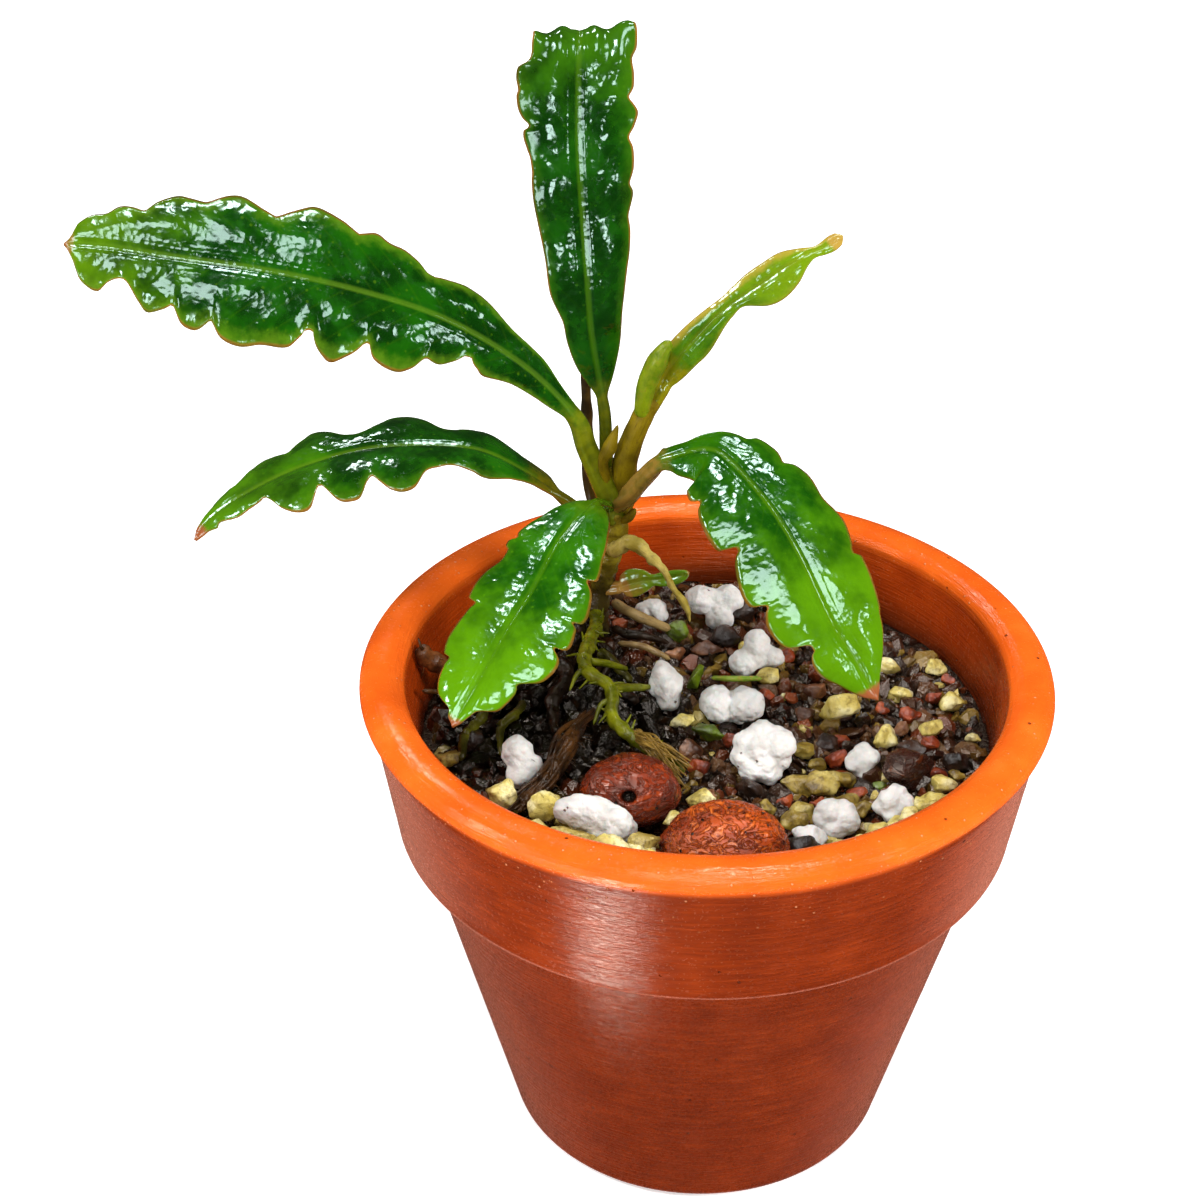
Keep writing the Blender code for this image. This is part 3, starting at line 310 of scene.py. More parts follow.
# The lobes of each puffed stone, as seen by the camera: right, up, towards it, and radius, with the
# stone about 2 wide. The finished stone is fitted to its size above.
PERLITE_LOBES = [
    [(-0.55, 0.35, 0.1, 0.5), (-0.1, 0.25, 0, 0.45), (0.5, 0.35, -0.1, 0.5), (0.15, -0.45, 0.1, 0.45)],
    [(-0.4, 0, 0, 0.6), (0.3, 0.05, 0.1, 0.65)],
    [(0.05, 0.65, 0, 0.42), (0, 0.25, 0.1, 0.44), (-0.5, -0.4, 0.1, 0.5), (-0.1, -0.2, 0, 0.46),
     (0.4, -0.1, -0.1, 0.42), (0.72, -0.15, 0, 0.38)],
    [(-0.05, 0.6, 0, 0.48), (0.1, 0.1, 0.15, 0.56), (-0.35, 0, -0.1, 0.42), (0.15, -0.55, 0, 0.48),
     (0.6, 0.25, -0.1, 0.3)],
    [(-0.55, 0.1, 0.1, 0.5), (-0.5, -0.2, 0.2, 0.4), (0, -0.1, -0.1, 0.46), (0.55, 0, 0.1, 0.54),
     (0.3, -0.3, 0, 0.4)],
    [(0, 0.7, 0, 0.36), (-0.5, 0.3, 0.05, 0.4), (0.5, 0.3, 0.15, 0.5), (-0.1, 0.15, 0.1, 0.5),
     (-0.6, -0.2, 0.1, 0.4), (-0.35, -0.55, 0.1, 0.42), (0.15, -0.7, 0, 0.42), (0.5, -0.25, -0.05, 0.4),
     (0, -0.3, 0.15, 0.42)],
    [(-0.2, 0.5, 0, 0.58), (0.05, 0, 0, 0.56), (0.45, -0.05, 0.1, 0.4), (-0.05, -0.6, 0.1, 0.52)],
    [(-0.7, 0.3, 0, 0.36), (-0.4, 0.26, 0.1, 0.44), (0, 0.1, 0, 0.5), (0.4, -0.15, 0.1, 0.5),
     (0.65, -0.35, -0.1, 0.4)],
    [(-0.3, 0.3, 0, 0.54), (0.25, 0.35, -0.1, 0.46), (0.4, -0.1, 0.1, 0.52), (-0.1, -0.4, 0, 0.5),
     (-0.55, -0.05, 0.1, 0.4)],
    [(0.1, 0.5, 0, 0.44), (0.55, 0.1, 0.1, 0.42), (-0.2, 0.1, 0, 0.5), (-0.6, -0.1, -0.1, 0.36),
     (-0.1, -0.5, 0.1, 0.4), (0.3, -0.3, 0, 0.42)],
    [(0.1, 0.5, 0, 0.42), (0.5, 0.25, 0.1, 0.44), (-0.1, 0.05, 0, 0.5), (-0.45, -0.1, 0.1, 0.42),
     (0.1, -0.5, -0.1, 0.44)],
    [(-0.4, 0.3, 0, 0.36), (0.1, 0.5, 0.1, 0.32), (0.5, 0.1, -0.1, 0.36), (0, 0, 0.1, 0.46),
     (-0.1, -0.5, 0, 0.36), (0.35, -0.4, 0.1, 0.32)],
]
PERLITE_VOXEL = 0.13
LOBE_SWELL = 1.32
LOBE_SMOOTHING = 22
KNOB_SIZE = 1.15
KNOB_HEIGHT = 0.3
# Smaller stones that lie loose in the grit, by their look: x, y, width, depth and height, and for some how
# much higher than the others they lie
LOOSE_STONES = {
    "cream": [(25.6, -2.2, 1.6, 1.4, 1.3), (6.5, 8, 2.3, 1.9, 1.7), (8, 5, 0.9, 0.9, 0.8),
        (19.5, 5, 2.4, 1.8, 1.4), (22, -10.2, 2.5, 1.9, 1.8), (20.5, -12.8, 2.6, 2, 1.8),
        (18.8, -13.4, 1.7, 1.5, 1.3), (22.2, -12.2, 1.5, 1.2, 1.2), (17, -16.4, 2.6, 2, 1.8),
        (14.6, -16.4, 1.4, 1.2, 1.2), (13.2, -19.2, 1.9, 1.6, 1.7), (10.8, -18, 1.3, 1.2, 1.2),
        (-14, -14, 1.4, 1.2, 1.2), (-12.6, -19.4, 2.3, 1.6, 1.5), (-6.6, -22.6, 2.4, 1.6, 1.7),
        (-4, 10.5, 1.2, 1, 1), (4.6, 13.4, 1.5, 1.2, 1.2), (12.2, 17.5, 1.6, 1.4, 1.3),
        (-9.4, -23.6, 4.4, 2.6, 2.4, 2.6), (-6.2, -25.2, 1.9, 1.4, 1.4, 3.6),
        (-3.2, -17.2, 2.4, 1.8, 2, 1.6), (-14.7, -13, 1.9, 1.5, 1.7, 0.6),
        (-15.9, -18.2, 2.2, 1.6, 1.6, 1.4), (19.8, -14.6, 2.4, 1.8, 1.8, 1), (18, -17, 2, 1.6, 1.6, 1.4),
        (15, -19.4, 2.2, 1.8, 1.8, 1.6), (11.4, -21, 1.8, 1.5, 1.5, 1.4)],
    "tan": [(14, -13.8, 2.2, 1.9, 1.7), (8.4, -14.6, 3, 2.4, 2), (8.8, -10.2, 4.2, 1.9, 1.9),
        (12.4, -9.4, 3, 1.9, 1.8), (9.2, -4.6, 2.2, 1.8, 1.7), (10.4, -6.6, 1.8, 1.5, 1.4),
        (23.4, -8.4, 1.6, 1.3, 1.3), (-1.5, -9.8, 1.3, 1.1, 1.2), (-17, -16.6, 2.8, 1.8, 1.7),
        (-12.2, -17.6, 4.2, 2.4, 1.9), (-5.4, -18.6, 2.4, 1.8, 1.8), (-24.4, -6.2, 2.4, 2, 2),
        (-20, -11, 1.6, 1.4, 1.2), (5.4, -13.2, 1.7, 1.4, 1.3), (16.4, 6.4, 1.7, 1.4, 1.3),
        (-12.4, -20.8, 4.4, 2.4, 2.4, 1.8), (-6.2, -22.4, 3, 2.2, 2.6, 2), (-13, -16.6, 1.8, 1.4, 1.6, 0.6),
        (10.6, -10.6, 3.4, 2.4, 2, 0.4), (7.6, -16.4, 2.6, 2, 2, 0.6), (12.6, -13.2, 2.4, 2, 1.8, 0.2)],
    "brick": [(6.3, 5, 1.6, 1.4, 1.3), (20, 1, 2.3, 2, 1.9), (12.2, -6.2, 2.1, 1.9, 2.2),
        (21.4, -3.6, 1.9, 1.5, 1.4), (13.8, -11.2, 2, 1.5, 1.4), (7, -12.4, 1.6, 1.3, 1.3),
        (-0.8, -7.4, 2.2, 1.8, 1.9), (21.6, -8.2, 1.9, 1.3, 1.4), (24.4, 7.8, 1.4, 1.2, 1.2),
        (2.4, -2.6, 1.8, 1.4, 1.4), (12.8, -2.8, 2.5, 1.4, 1.3), (10, -13, 1.6, 1.4, 1.4),
        (17.6, 2.6, 1.8, 1.5, 1.3), (22.6, 4.4, 1.6, 1.3, 1.3), (15.8, -5, 1.5, 1.3, 1.2),
        (8.6, 12, 1.8, 1.5, 1.4)],
    "mauve": [(-0.4, -12, 2.2, 1.9, 1.8), (0.7, 12.8, 3.4, 2.2, 1.9), (15.2, -17.4, 2, 1.5, 1.5),
        (-1.4, -4.4, 2.4, 2, 2), (11, 5, 2.3, 1.9, 1.9), (9.8, 1.6, 2, 1.7, 1.6), (5.6, -2.6, 1.8, 1.5, 1.4),
        (-2.6, 12, 2.2, 1.7, 1.6), (18.8, -1, 1.8, 1.5, 1.5)],
    "black": [(4.3, 19.2, 3, 2.8, 2.8), (2.6, 14.6, 3.2, 2.8, 2.9), (8.3, -20.4, 3.2, 2.4, 2.6),
        (19.4, -5.2, 2.8, 2.2, 2), (23.6, -6.2, 2.6, 2.2, 2), (-16.4, -11.2, 2.4, 2, 1.8),
        (11.6, -3.4, 2.4, 2, 1.8), (3.8, -10.8, 2.6, 2.1, 1.9), (-22.4, -3.4, 2.6, 2.2, 2.2)],
    "green": [(-2.3, 15.6, 2.4, 1.6, 2.3), (16, -9.8, 1.4, 1, 1)],
}
# Finer roots that ride with the plant: a path and the radius at its two ends
ROOT_BRANCHES = [
    ([(-9, 0.6, 48.2), (-7.2, 2, 47.3), (-5.3, 4, 46)], 0.5, 0.3),
    ([(-10.9, 5, 48.3), (-9.2, 5.5, 47.7), (-7.6, 6.6, 46.4)], 0.42, 0.3),
    ([(-11.3, 3.8, 48.4), (-12.3, 2.7, 48.4), (-12.9, 1.4, 47.7)], 0.4, 0.12),
    ([(-11.5, 5.6, 48.4), (-12.3, 5.6, 48.8), (-13.1, 5.2, 48.9)], 0.22, 0.08),
    ([(-9, -1, 48), (-10, -1.8, 47.9), (-10.6, -3.2, 47)], 0.32, 0.14),
]
TWIGS = [
    ([(-26.9, 1, 47.6), (-25.2, 1.4, 47.1), (-23.4, 2, 45.6)], 0.26, 0.2),
    ([(-26.9, 4.9, 49.6), (-27.3, 4.2, 50.3), (-27.6, 4.6, 51)], 0.3, 0.12),
]
# Where the mossy root frays into strands over the clay ball, and where the strands end
FRAY_START = (-6.6, -6, 47.2)
FRAY_ENDS = [(-4.8, -8.4, 48.2), (-3.6, -9.4, 47.6), (-2.8, -10.4, 46.6), (-2.6, -12, 45.6),
             (-2.2, -8.6, 45.8), (-3.4, -7.2, 45.6), (-4, -10.4, 48.2)]
STRANDS_EACH = 9
# The clump of roots round the brown one
CLUMP_PATH = [(-11.4, -1.4, 46.2), (-13.2, -6.6, 46.8), (-14.9, -10.8, 46.2), (-17.6, -14.4, 45.4)]
CLUMP_STRANDS = 26
# The foot of the stem, from which dark roots run out through the shaded corner
DARK_FOOT = (-11.2, 14.0, 46.6)
DARK_ROOTS = 12


def colour(shade):
    """A shade as a screen shows it, from 0 to 255, in a node's linear values. A socket stays as it is."""
    if isinstance(shade, bpy.types.NodeSocket):
        return shade
    channels = []
    for value in shade:
        share = value / 255
        channels.append(share / 12.92 if share <= 0.04045 else ((share + 0.055) / 1.055) ** 2.4)
    return (*channels, 1.0)


# Node trees

class Nodes:
    """Adds nodes to a tree. A socket's value is a plain value, or another node's output to link."""

    def __init__(self, tree):
        self.tree = tree

    def fill(self, node, sockets):
        for socket, value in sockets.items():
            if isinstance(value, bpy.types.NodeSocket):
                self.tree.links.new(value, node.inputs[socket])
            else:
                node.inputs[socket].default_value = value

    def add(self, kind, sockets=None, **settings):
        node = self.tree.nodes.new(kind)
        for name, value in settings.items():
            setattr(node, name, value)
        self.fill(node, sockets or {})
        return node

    def math(self, operation, first, second=0.0):
        return self.add("ShaderNodeMath", {0: first, 1: second}, operation=operation).outputs[0]

    def plus(self, first, second):
        return self.math("ADD", first, second)

    def minus(self, first, second):
        return self.math("SUBTRACT", first, second)

    def times(self, first, second):
        return self.math("MULTIPLY", first, second)

    def vector(self, x=0.0, y=0.0, z=0.0):
        return self.add("ShaderNodeCombineXYZ", {0: x, 1: y, 2: z}).outputs[0]


class Finish(Nodes):
    """A material in the making, with the few kinds of node that the finishes here are made of."""

    def __init__(self, name):
        self.material = bpy.data.materials.new(name)
        self.material.use_nodes = True
        super().__init__(self.material.node_tree)
        self.shader = self.tree.nodes["Principled BSDF"]
        self.place = self.add("ShaderNodeTexCoord").outputs["Object"]
        self.millimetres = self.stretched(1, 1, 1)

    def read(self, attribute):
        return self.add("ShaderNodeAttribute", attribute_name=attribute).outputs["Fac"]

    def stretched(self, x, y, z):
        """The surface's own coordinates in millimetres, scaled along each axis."""
        sockets = {0: self.place, 1: (x / MM, y / MM, z / MM)}
        return self.add("ShaderNodeVectorMath", sockets, operation="MULTIPLY").outputs[0]

    def height(self):
        """The surface's height above the pot's base in millimetres."""
        return self.add("ShaderNodeSeparateXYZ", {0: self.millimetres}).outputs["Z"]

    def clouds(self, size, detail=3.0, roughness=0.55, source=None, distortion=0.0):
        """Noise from 0 to 1 whose patches are about this many millimetres wide."""
        sockets = {"Vector": source or self.millimetres, "Scale": 1 / size, "Detail": detail,
                   "Roughness": roughness, "Distortion": distortion}
        return self.add("ShaderNodeTexNoise", sockets).outputs["Fac"]

    def cells(self, size, source=None):
        """How far it is to the nearest of many points that lie about this many millimetres apart."""
        sockets = {"Vector": source or self.millimetres, "Scale": 1 / size}
        return self.add("ShaderNodeTexVoronoi", sockets).outputs["Distance"]

    def step(self, value, low, high, to_low=0.0, to_high=1.0):
        """A smooth step from one value to the other as the input goes from low to high."""
        sockets = {"Value": value, "From Min": low, "From Max": high, "To Min": to_low, "To Max": to_high}
        node = self.add("ShaderNodeMapRange", sockets, interpolation_type="SMOOTHSTEP")
        return node.outputs["Result"]

    def dots(self, spacing, edge, patch_size, patch_edge, roughness=0.55):
        """Small round dots, 1 inside and 0 outside, that show in some patches of the surface only."""
        dots = self.step(self.cells(spacing), *edge)
        return self.times(dots, self.step(self.clouds(patch_size, 1.0, roughness), *patch_edge))

    def ramp(self, value, stops, interpolation="LINEAR"):
        node = self.add("ShaderNodeValToRGB", {"Fac": value})
        node.color_ramp.interpolation = interpolation
        elements = node.color_ramp.elements
        while len(elements) < len(stops):
            elements.new(0.5)
        for element, (position, shade) in zip(elements, stops):
            element.position = position
            element.color = colour(shade)
        return node.outputs["Color"]

    def mix(self, share, first, second):
        sockets = {0: share, 6: colour(first), 7: colour(second)}
        return self.add("ShaderNodeMix", sockets, data_type="RGBA").outputs[2]

    def relief(self, *bumps):
        """Bumps over one another, each with its height map, its depth in millimetres and its strength."""
        normal = None
        for height, depth, strength in bumps:
            sockets = {"Height": height, "Distance": depth * MM, "Strength": strength}
            if normal:
                sockets["Normal"] = normal
            normal = self.add("ShaderNodeBump", sockets).outputs["Normal"]
        return normal

    def finish(self, base, roughness, normal=None, **constants):
        """Links base colour, roughness and normal, and sets constants on the shader's own sockets."""
        self.fill(self.shader, {"Base Color": base, "Roughness": roughness})
        if normal:
            self.fill(self.shader, {"Normal": normal, "Coat Normal": normal})
        sockets = {socket.name.lower().replace(" ", "_"): socket for socket in self.shader.inputs}
        for name, value in constants.items():
            sockets[name].default_value = value
        return self.material


# Finishes. A shade is red, green and blue as a screen shows them. A ramp's rows hold the value where
# each shade is reached.

POT_BODY = [(0.3, (98, 28, 2)), (0.5, (109, 33, 2)), (0.72, (122, 40, 4))]
POT_LIP = [(0.3, (212, 84, 18)), (0.6, (224, 96, 24)), (0.8, (232, 110, 36))]
POT_WALL = [(0.3, (138, 44, 5)), (0.6, (162, 57, 8)), (0.8, (180, 68, 12))]
POT_PAINTED_SHADE_BELOW_COLLAR = (88, 26, 2)
POT_WALL_NEAR_GRIT = (78, 26, 6)
PALE_STREAK = (172, 62, 12)
DARK_STREAK = (98, 28, 4)
TURNING_LINE = (190, 78, 24)
# The pale reflection painted where the pot turns away from the eye
CLAY_PAINTED_SHEEN = (190, 118, 96)
POT_PIT_SHADE = (70, 30, 18)
LIP_SPECK = (246, 170, 120)


def pot_shades(clay, height, streaks, on_lip, inside):
    """Streaked body, shade painted below the collar, a bright lip, an inner wall darker near the grit."""
    mottle = clay.clouds(5.0, 4.0, 0.6)
    body = clay.mix(clay.step(streaks, 0.42, 0.7, 0.0, 0.16), clay.ramp(mottle, POT_BODY), PALE_STREAK)
    # A shade painted darker below the collar
    below = clay.step(height, COLLAR_FOOT + 1.0, COLLAR_FOOT - 1.0, 0.0, 0.25)
    body = clay.mix(below, body, POT_PAINTED_SHADE_BELOW_COLLAR)
    body = clay.mix(clay.step(streaks, 0.5, 0.28, 0.0, 0.25), body, DARK_STREAK)
    outside = clay.mix(on_lip, body, clay.ramp(mottle, POT_LIP))
    # The inner wall turns darker towards the grit
    wet = clay.step(height, BED_LEVEL + 4.0, BED_LEVEL - 0.5)
    wall = clay.mix(wet, clay.ramp(mottle, POT_WALL), POT_WALL_NEAR_GRIT)
    return clay.mix(inside, outside, wall)


def pot_painted_sheen(clay, height):
    """A pale sheen painted into the colour where the outside turns away from the eye, less below the collar.
    """
    grazed = clay.add("ShaderNodeLayerWeight", {"Blend": 0.5}).outputs["Facing"]
    sheen = clay.step(grazed, 0.5, 0.95, 0.0, 0.75)
    sheen = clay.times(sheen, clay.step(height, LIP_FOOT, LIP_FOOT - 0.6))
    sheen = clay.times(sheen, clay.step(height, COLLAR_FOOT - 1.0, COLLAR_FOOT, 0.45, 1.0))
    return clay.times(sheen, clay.minus(1.0, clay.read("inside")))


def terracotta():
    """Fired clay: a bright damp lip, a duller collar and body with turning streaks, an inside dark near the
    grit.
    """
    clay = Finish("terracotta_turned")
    height = clay.height()
    streaks = clay.clouds(1.0, 3.0, 0.6, clay.stretched(0.16, 0.16, 3.2))
    lines = clay.clouds(1.0, 3.0, 0.6, clay.stretched(0.3, 0.3, 5.5))
    grain = clay.clouds(0.35, 2.0, 0.5)
    on_lip = clay.step(height, LIP_FOOT - 0.5, LIP_FOOT + 0.4)
    inside = clay.times(clay.read("inside"), clay.step(height, POT_HEIGHT - 0.7, POT_HEIGHT - 2.0))
    shade = pot_shades(clay, height, streaks, on_lip, inside)
    # A painted sheen: a pale reflection painted where the outside turns away from the eye
    shade = clay.mix(pot_painted_sheen(clay, height), shade, CLAY_PAINTED_SHEEN)
    shaded_pits = clay.dots(1.9, (0.1, 0.05), 2.3, (0.56, 0.64))
    # Shade painted dark into the pits
    shade = clay.mix(clay.times(shaded_pits, 0.75), shade, POT_PIT_SHADE)
    specks = clay.dots(0.9, (0.16, 0.08), 1.7, (0.44, 0.54), 0.5)
    specks = clay.times(specks, clay.step(height, LIP_FOOT - 6.0, LIP_FOOT, 0.02, 1.0))
    specks = clay.times(specks, clay.step(inside, 0.8, 0.2))
    shade = clay.mix(clay.times(specks, 0.6), shade, LIP_SPECK)
    shade = clay.mix(clay.step(lines, 0.5, 0.74, 0.0, 0.16), shade, TURNING_LINE)
    rough_lip = clay.step(grain, 0.2, 0.8, 0.14, 0.3)
    rough_body = clay.step(grain, 0.2, 0.8, 0.16, 0.3)
    rough_body = clay.plus(rough_body, clay.step(height, COLLAR_FOOT, COLLAR_FOOT - 1.0, 0.0, 0.04))
    normal = clay.relief((streaks, 0.2, 0.7), (lines, 0.1, 0.6), (grain, 0.04, 0.5),
                         (clay.clouds(2.2), 0.12, 0.4), (specks, 0.12, 1.0),
                         (clay.times(shaded_pits, -1), 0.25, 1.0))
    return clay.finish(shade, clay.mix(on_lip, rough_body, rough_lip), normal,
                       specular_tint=WARM_TINT, specular_ior_level=0.3)


LEAF_UNDERSIDE = (110, 134, 50)
BROWN_EDGE = (140, 92, 34)
BROWN_END = (140, 78, 44)


class LeafFinish(Finish):
    """A leaf's finish in the making. It reads where on the leaf each point of its skin lies."""

    def __init__(self, name):
        super().__init__(name)
        self.along, self.across = self.read("along"), self.read("across")
        self.run, self.side, self.upper = self.read("run"), self.read("side"), self.read("upper")
        self.skin = self.vector(self.run, self.side, self.upper)
        self.edge = self.math("ABSOLUTE", self.across)
        self.off_rib = self.math("ABSOLUTE", self.side)
        self.patches = self.clouds(3.4, 3.0, 0.55, self.skin)
        self.fine = self.clouds(0.8, 3.0, 0.6, self.skin)

    def ragged(self, place, share):
        """The place moved to and fro by fine noise, so that what ends there has a ragged end."""
        return self.plus(place, self.times(self.minus(self.fine, 0.5), share))

    def greens(self, deep, middle, bright, tip, bright_from, edge_gold):
        """Deep green with lighter patches, brighter towards the tip and golden along the edge."""
        green = self.mix(self.step(self.patches, 0.36, 0.66), deep, middle)
        green = self.mix(self.step(self.fine, 0.5, 0.8, 0.0, 0.5), green, middle)
        reached = self.plus(self.along, self.times(self.minus(self.patches, 0.5), 0.5))
        green = self.mix(self.step(reached, bright_from, bright_from + 0.45), green, bright)
        rim = self.step(self.ragged(self.edge, 0.3), 0.72, 1.02)
        return self.mix(self.times(rim, edge_gold), green, self.mix(0.5, bright, tip))

    def markings(self, green, bright, tip, golden_side_and_glint):
        """Lighter side veins and dots, a pale midrib, and a golden rolled left side: own margin and painted
        highlight.
        """
        slant = self.minus(self.run, self.times(self.off_rib, VEIN_SLANT))
        wave = self.math("ABSOLUTE", self.math("SINE", self.times(slant, math.pi / VEIN_PITCH)))
        green = self.mix(self.step(wave, 0.3, 0.05, 0.0, 0.05), green, bright)
        dots = self.times(self.step(self.cells(0.9, self.skin), 0.22, 0.1), self.step(self.fine, 0.4, 0.6))
        green = self.mix(self.times(dots, 0.3), green, bright)
        rib = self.step(self.off_rib, RIB_WIDTH * 1.3, RIB_WIDTH * 0.3)
        green = self.mix(self.times(rib, 0.5 * (1 - golden_side_and_glint)), green, tip)
        if golden_side_and_glint:
            rolled = self.step(self.ragged(self.across, 0.6), -0.4, -0.9)
            green = self.mix(self.times(rolled, golden_side_and_glint), green, tip)
        return green

    def ends(self, green, deep, middle, bright, stem, end_shade, brown_from):
        """The paler underside, the stalk, the brown end and the thin brown edge."""
        below = self.mix(self.step(self.fine, 0.3, 0.8), middle, bright)
        green = self.mix(self.step(self.upper, 0.1, -0.3), green, self.mix(0.35, below, LEAF_UNDERSIDE))
        stalk = self.mix(self.step(self.fine, 0.35, 0.7), stem, self.mix(0.35, stem, deep))
        green = self.mix(self.step(self.ragged(self.along, 0.06), 0.2, 0.13), green, stalk)
        end = self.step(self.ragged(self.along, 0.03), brown_from, brown_from + 0.02)
        green = self.mix(end, green, end_shade)
        brown = self.times(self.step(self.edge, 0.945, 0.985), self.step(self.patches, 0.35, 0.6, 0.35, 0.95))
        return self.mix(brown, green, BROWN_EDGE)

    def bumps(self):
        """Small blisters, soft unevenness, and creases along both sides of the midrib."""
        creases = self.math("SINE", self.times(self.side, 2 * math.pi / CREASE_PITCH))
        creases = self.times(creases, self.step(self.off_rib, CREASE_REACH, 0.3))
        uneven = self.clouds(1.5, 2.0, 0.5, self.skin, 0.4)
        blisters = self.cells(0.6, self.skin)
        return self.relief((blisters, 0.035, 0.8), (uneven, 0.09, 0.7), (creases, 0.02, 0.5))


def leaf_finish(name, shades, bright_from, edge_gold, brown_from, golden_side_and_glint):
    """A wet leaf: deep green with lighter patches, brighter towards the tip, with a pale midrib."""
    deep, middle, bright, tip, stem, end_shade = shades
    leaf = LeafFinish(name)
    green = leaf.greens(deep, middle, bright, tip, bright_from, edge_gold)
    green = leaf.markings(green, bright, tip, golden_side_and_glint)
    green = leaf.ends(green, deep, middle, bright, stem, end_shade, brown_from)
    rough = leaf.step(leaf.fine, 0.3, 0.75, 0.09, 0.17)
    return leaf.finish(green, rough, leaf.bumps(), specular_tint=WET_TINT, specular_ior_level=0.65)


STEM_FOOT_DARK = (22, 13, 7)


def tube_finish(name, low, high, dirt, roughness, wet, fibres, foot):
    """A stalk or root: two mixed shades with dirty patches. It has fibres along it if their number is given,
    or else rings round it, and it darkens towards its foot below a height if one is given."""
    bark = Finish(name)
    run, turn = bark.read("run"), bark.read("turn")
    patches = bark.clouds(1.8, 4.0, 0.6)
    fine = bark.clouds(0.45, 3.0, 0.6)
    shade = bark.mix(bark.step(patches, 0.35, 0.65), low, high)
    shade = bark.mix(bark.step(fine, 0.52, 0.75, 0.0, 0.5 if fibres else 0.7), shade, dirt)
    if fibres:
        round_it = bark.vector(bark.times(run, 0.12), bark.math("COSINE", turn), bark.math("SINE", turn))
        lines = bark.clouds(1 / fibres, 3.0, 0.6, round_it)
    else:
        lines = bark.clouds(1.0, 2.0, 0.6, bark.vector(bark.times(run, 2.2), 0.0, turn))
    shade = bark.mix(bark.step(lines, 0.55, 0.72, 0.0, 0.5), shade, dirt)
    if foot:
        # Darker towards the foot, below the given height
        ragged = bark.plus(bark.height(), bark.times(bark.minus(patches, 0.5), 6.0))
        shade = bark.mix(bark.step(ragged, foot + 2.5, foot - 2.5, 0.0, 0.9), shade, STEM_FOOT_DARK)
    normal = bark.relief((fine, 0.05 if fibres else 0.12, 0.8), (lines, 0.1, 0.6))
    rough = bark.step(fine, 0.2, 0.8, roughness * 0.7, roughness * 1.3)
    return bark.finish(shade, rough, normal, coat_weight=wet, coat_roughness=0.12,
                       specular_tint=WARM_TINT, specular_ior_level=0.22)


PERLITE_WHITES = [(0.3, (180, 176, 170)), (0.5, (204, 201, 196)), (0.7, (218, 216, 212))]
PERLITE_PIT_SHADE = (84, 58, 44)
STONE_SPECK = (60, 44, 20)


def perlite_finish():
    """White puffed stone with soft grey creases and a few tiny pits, with shade painted dark into them."""
    stone = Finish("perlite_puffed")
    shaded_pits = stone.dots(1.5, (0.12, 0.05), 1.9, (0.5, 0.56))
    shade = stone.ramp(stone.clouds(2.2, 3.0, 0.5), PERLITE_WHITES)
    shade = stone.mix(stone.times(shaded_pits, 0.85), shade, PERLITE_PIT_SHADE)
    normal = stone.relief((stone.cells(0.35), 0.08, 0.6), (stone.clouds(0.7, 4.0, 0.65), 0.16, 0.6),
                          (stone.times(shaded_pits, -1), 0.3, 1.0))
    return stone.finish(shade, 0.7, normal, subsurface_weight=0.2, subsurface_scale=0.0008)


def stone_finish(name, low, middle, high, dirt, wet):
    """Broken stone in three mixed shades, damp, with dirt in its hollows and a few dark specks."""
    stone = Finish(name)
    fine = stone.clouds(0.6, 4.0, 0.65)
    shade = stone.ramp(stone.clouds(2.2, 3.0, 0.55), [(0.34, low), (0.5, middle), (0.66, high)])
    shade = stone.mix(stone.step(fine, 0.46, 0.7, 0.0, 0.75), shade, dirt)
    specks = stone.dots(0.7, (0.14, 0.06), 1.3, (0.5, 0.6))
    shade = stone.mix(stone.times(specks, 0.7), shade, STONE_SPECK)
    normal = stone.relief((fine, 0.24, 0.8), (stone.cells(0.4), 0.06, 0.5))
    rough = stone.step(fine, 0.2, 0.8, 0.25, 0.5)
    return stone.finish(shade, rough, normal, coat_weight=wet * 0.6, coat_roughness=0.12)


CLAY_WRINKLE_SHADE = (56, 16, 6)
CLAY_HOLE_SHADE = (10, 4, 2)
CLAY_TINT = (1.0, 0.86, 0.74, 1.0)


def clay_finish(name, low, high, worn, wrinkle_size, depth):
    """Fired clay skin: red brown, wrinkled, with shade painted into its grooves, pits and hole, lighter where
    it is worn.
    """
    clay = Finish(name)
    wrinkles = clay.clouds(wrinkle_size, 4.0, 0.55, clay.stretched(0.7, 0.7, 1.5), 2.2)
    lines = clay.step(clay.math("ABSOLUTE", clay.minus(wrinkles, 0.5)), 0.0, 0.06)
    shade = clay.mix(clay.step(clay.clouds(2.6, 3.0, 0.5), 0.38, 0.62), low, high)
    shade = clay.mix(clay.step(wrinkles, 0.54, 0.7, 0.0, 0.7), shade, worn)
    # Shade painted dark into the wrinkle grooves
    shade = clay.mix(clay.step(lines, 0.7, 0.1, 0.0, 0.6), shade, CLAY_WRINKLE_SHADE)
    shaded_pits = clay.dots(1.1, (0.17, 0.1), 1.6, (0.46, 0.5))
    shaded_pits = clay.math("MAXIMUM", shaded_pits, clay.step(clay.read("hollow"), 0.25, 0.6))
    # Shade painted black into the pits and the hole
    shade = clay.mix(shaded_pits, shade, CLAY_HOLE_SHADE)
    normal = clay.relief((lines, depth, 0.8), (wrinkles, depth * 1.6, 0.7), (clay.times(shaded_pits, -1), 0.3, 1.0))
    rough = clay.step(wrinkles, 0.3, 0.7, 0.32, 0.16)
    return clay.finish(shade, rough, normal, specular_tint=CLAY_TINT, specular_ior_level=0.6)


GRIT_DIRT = (30, 14, 6)
GRIT_PAINTED_SHADE = (6, 3, 1)
GRIT_TINT = (1.0, 0.9, 0.8, 1.0)
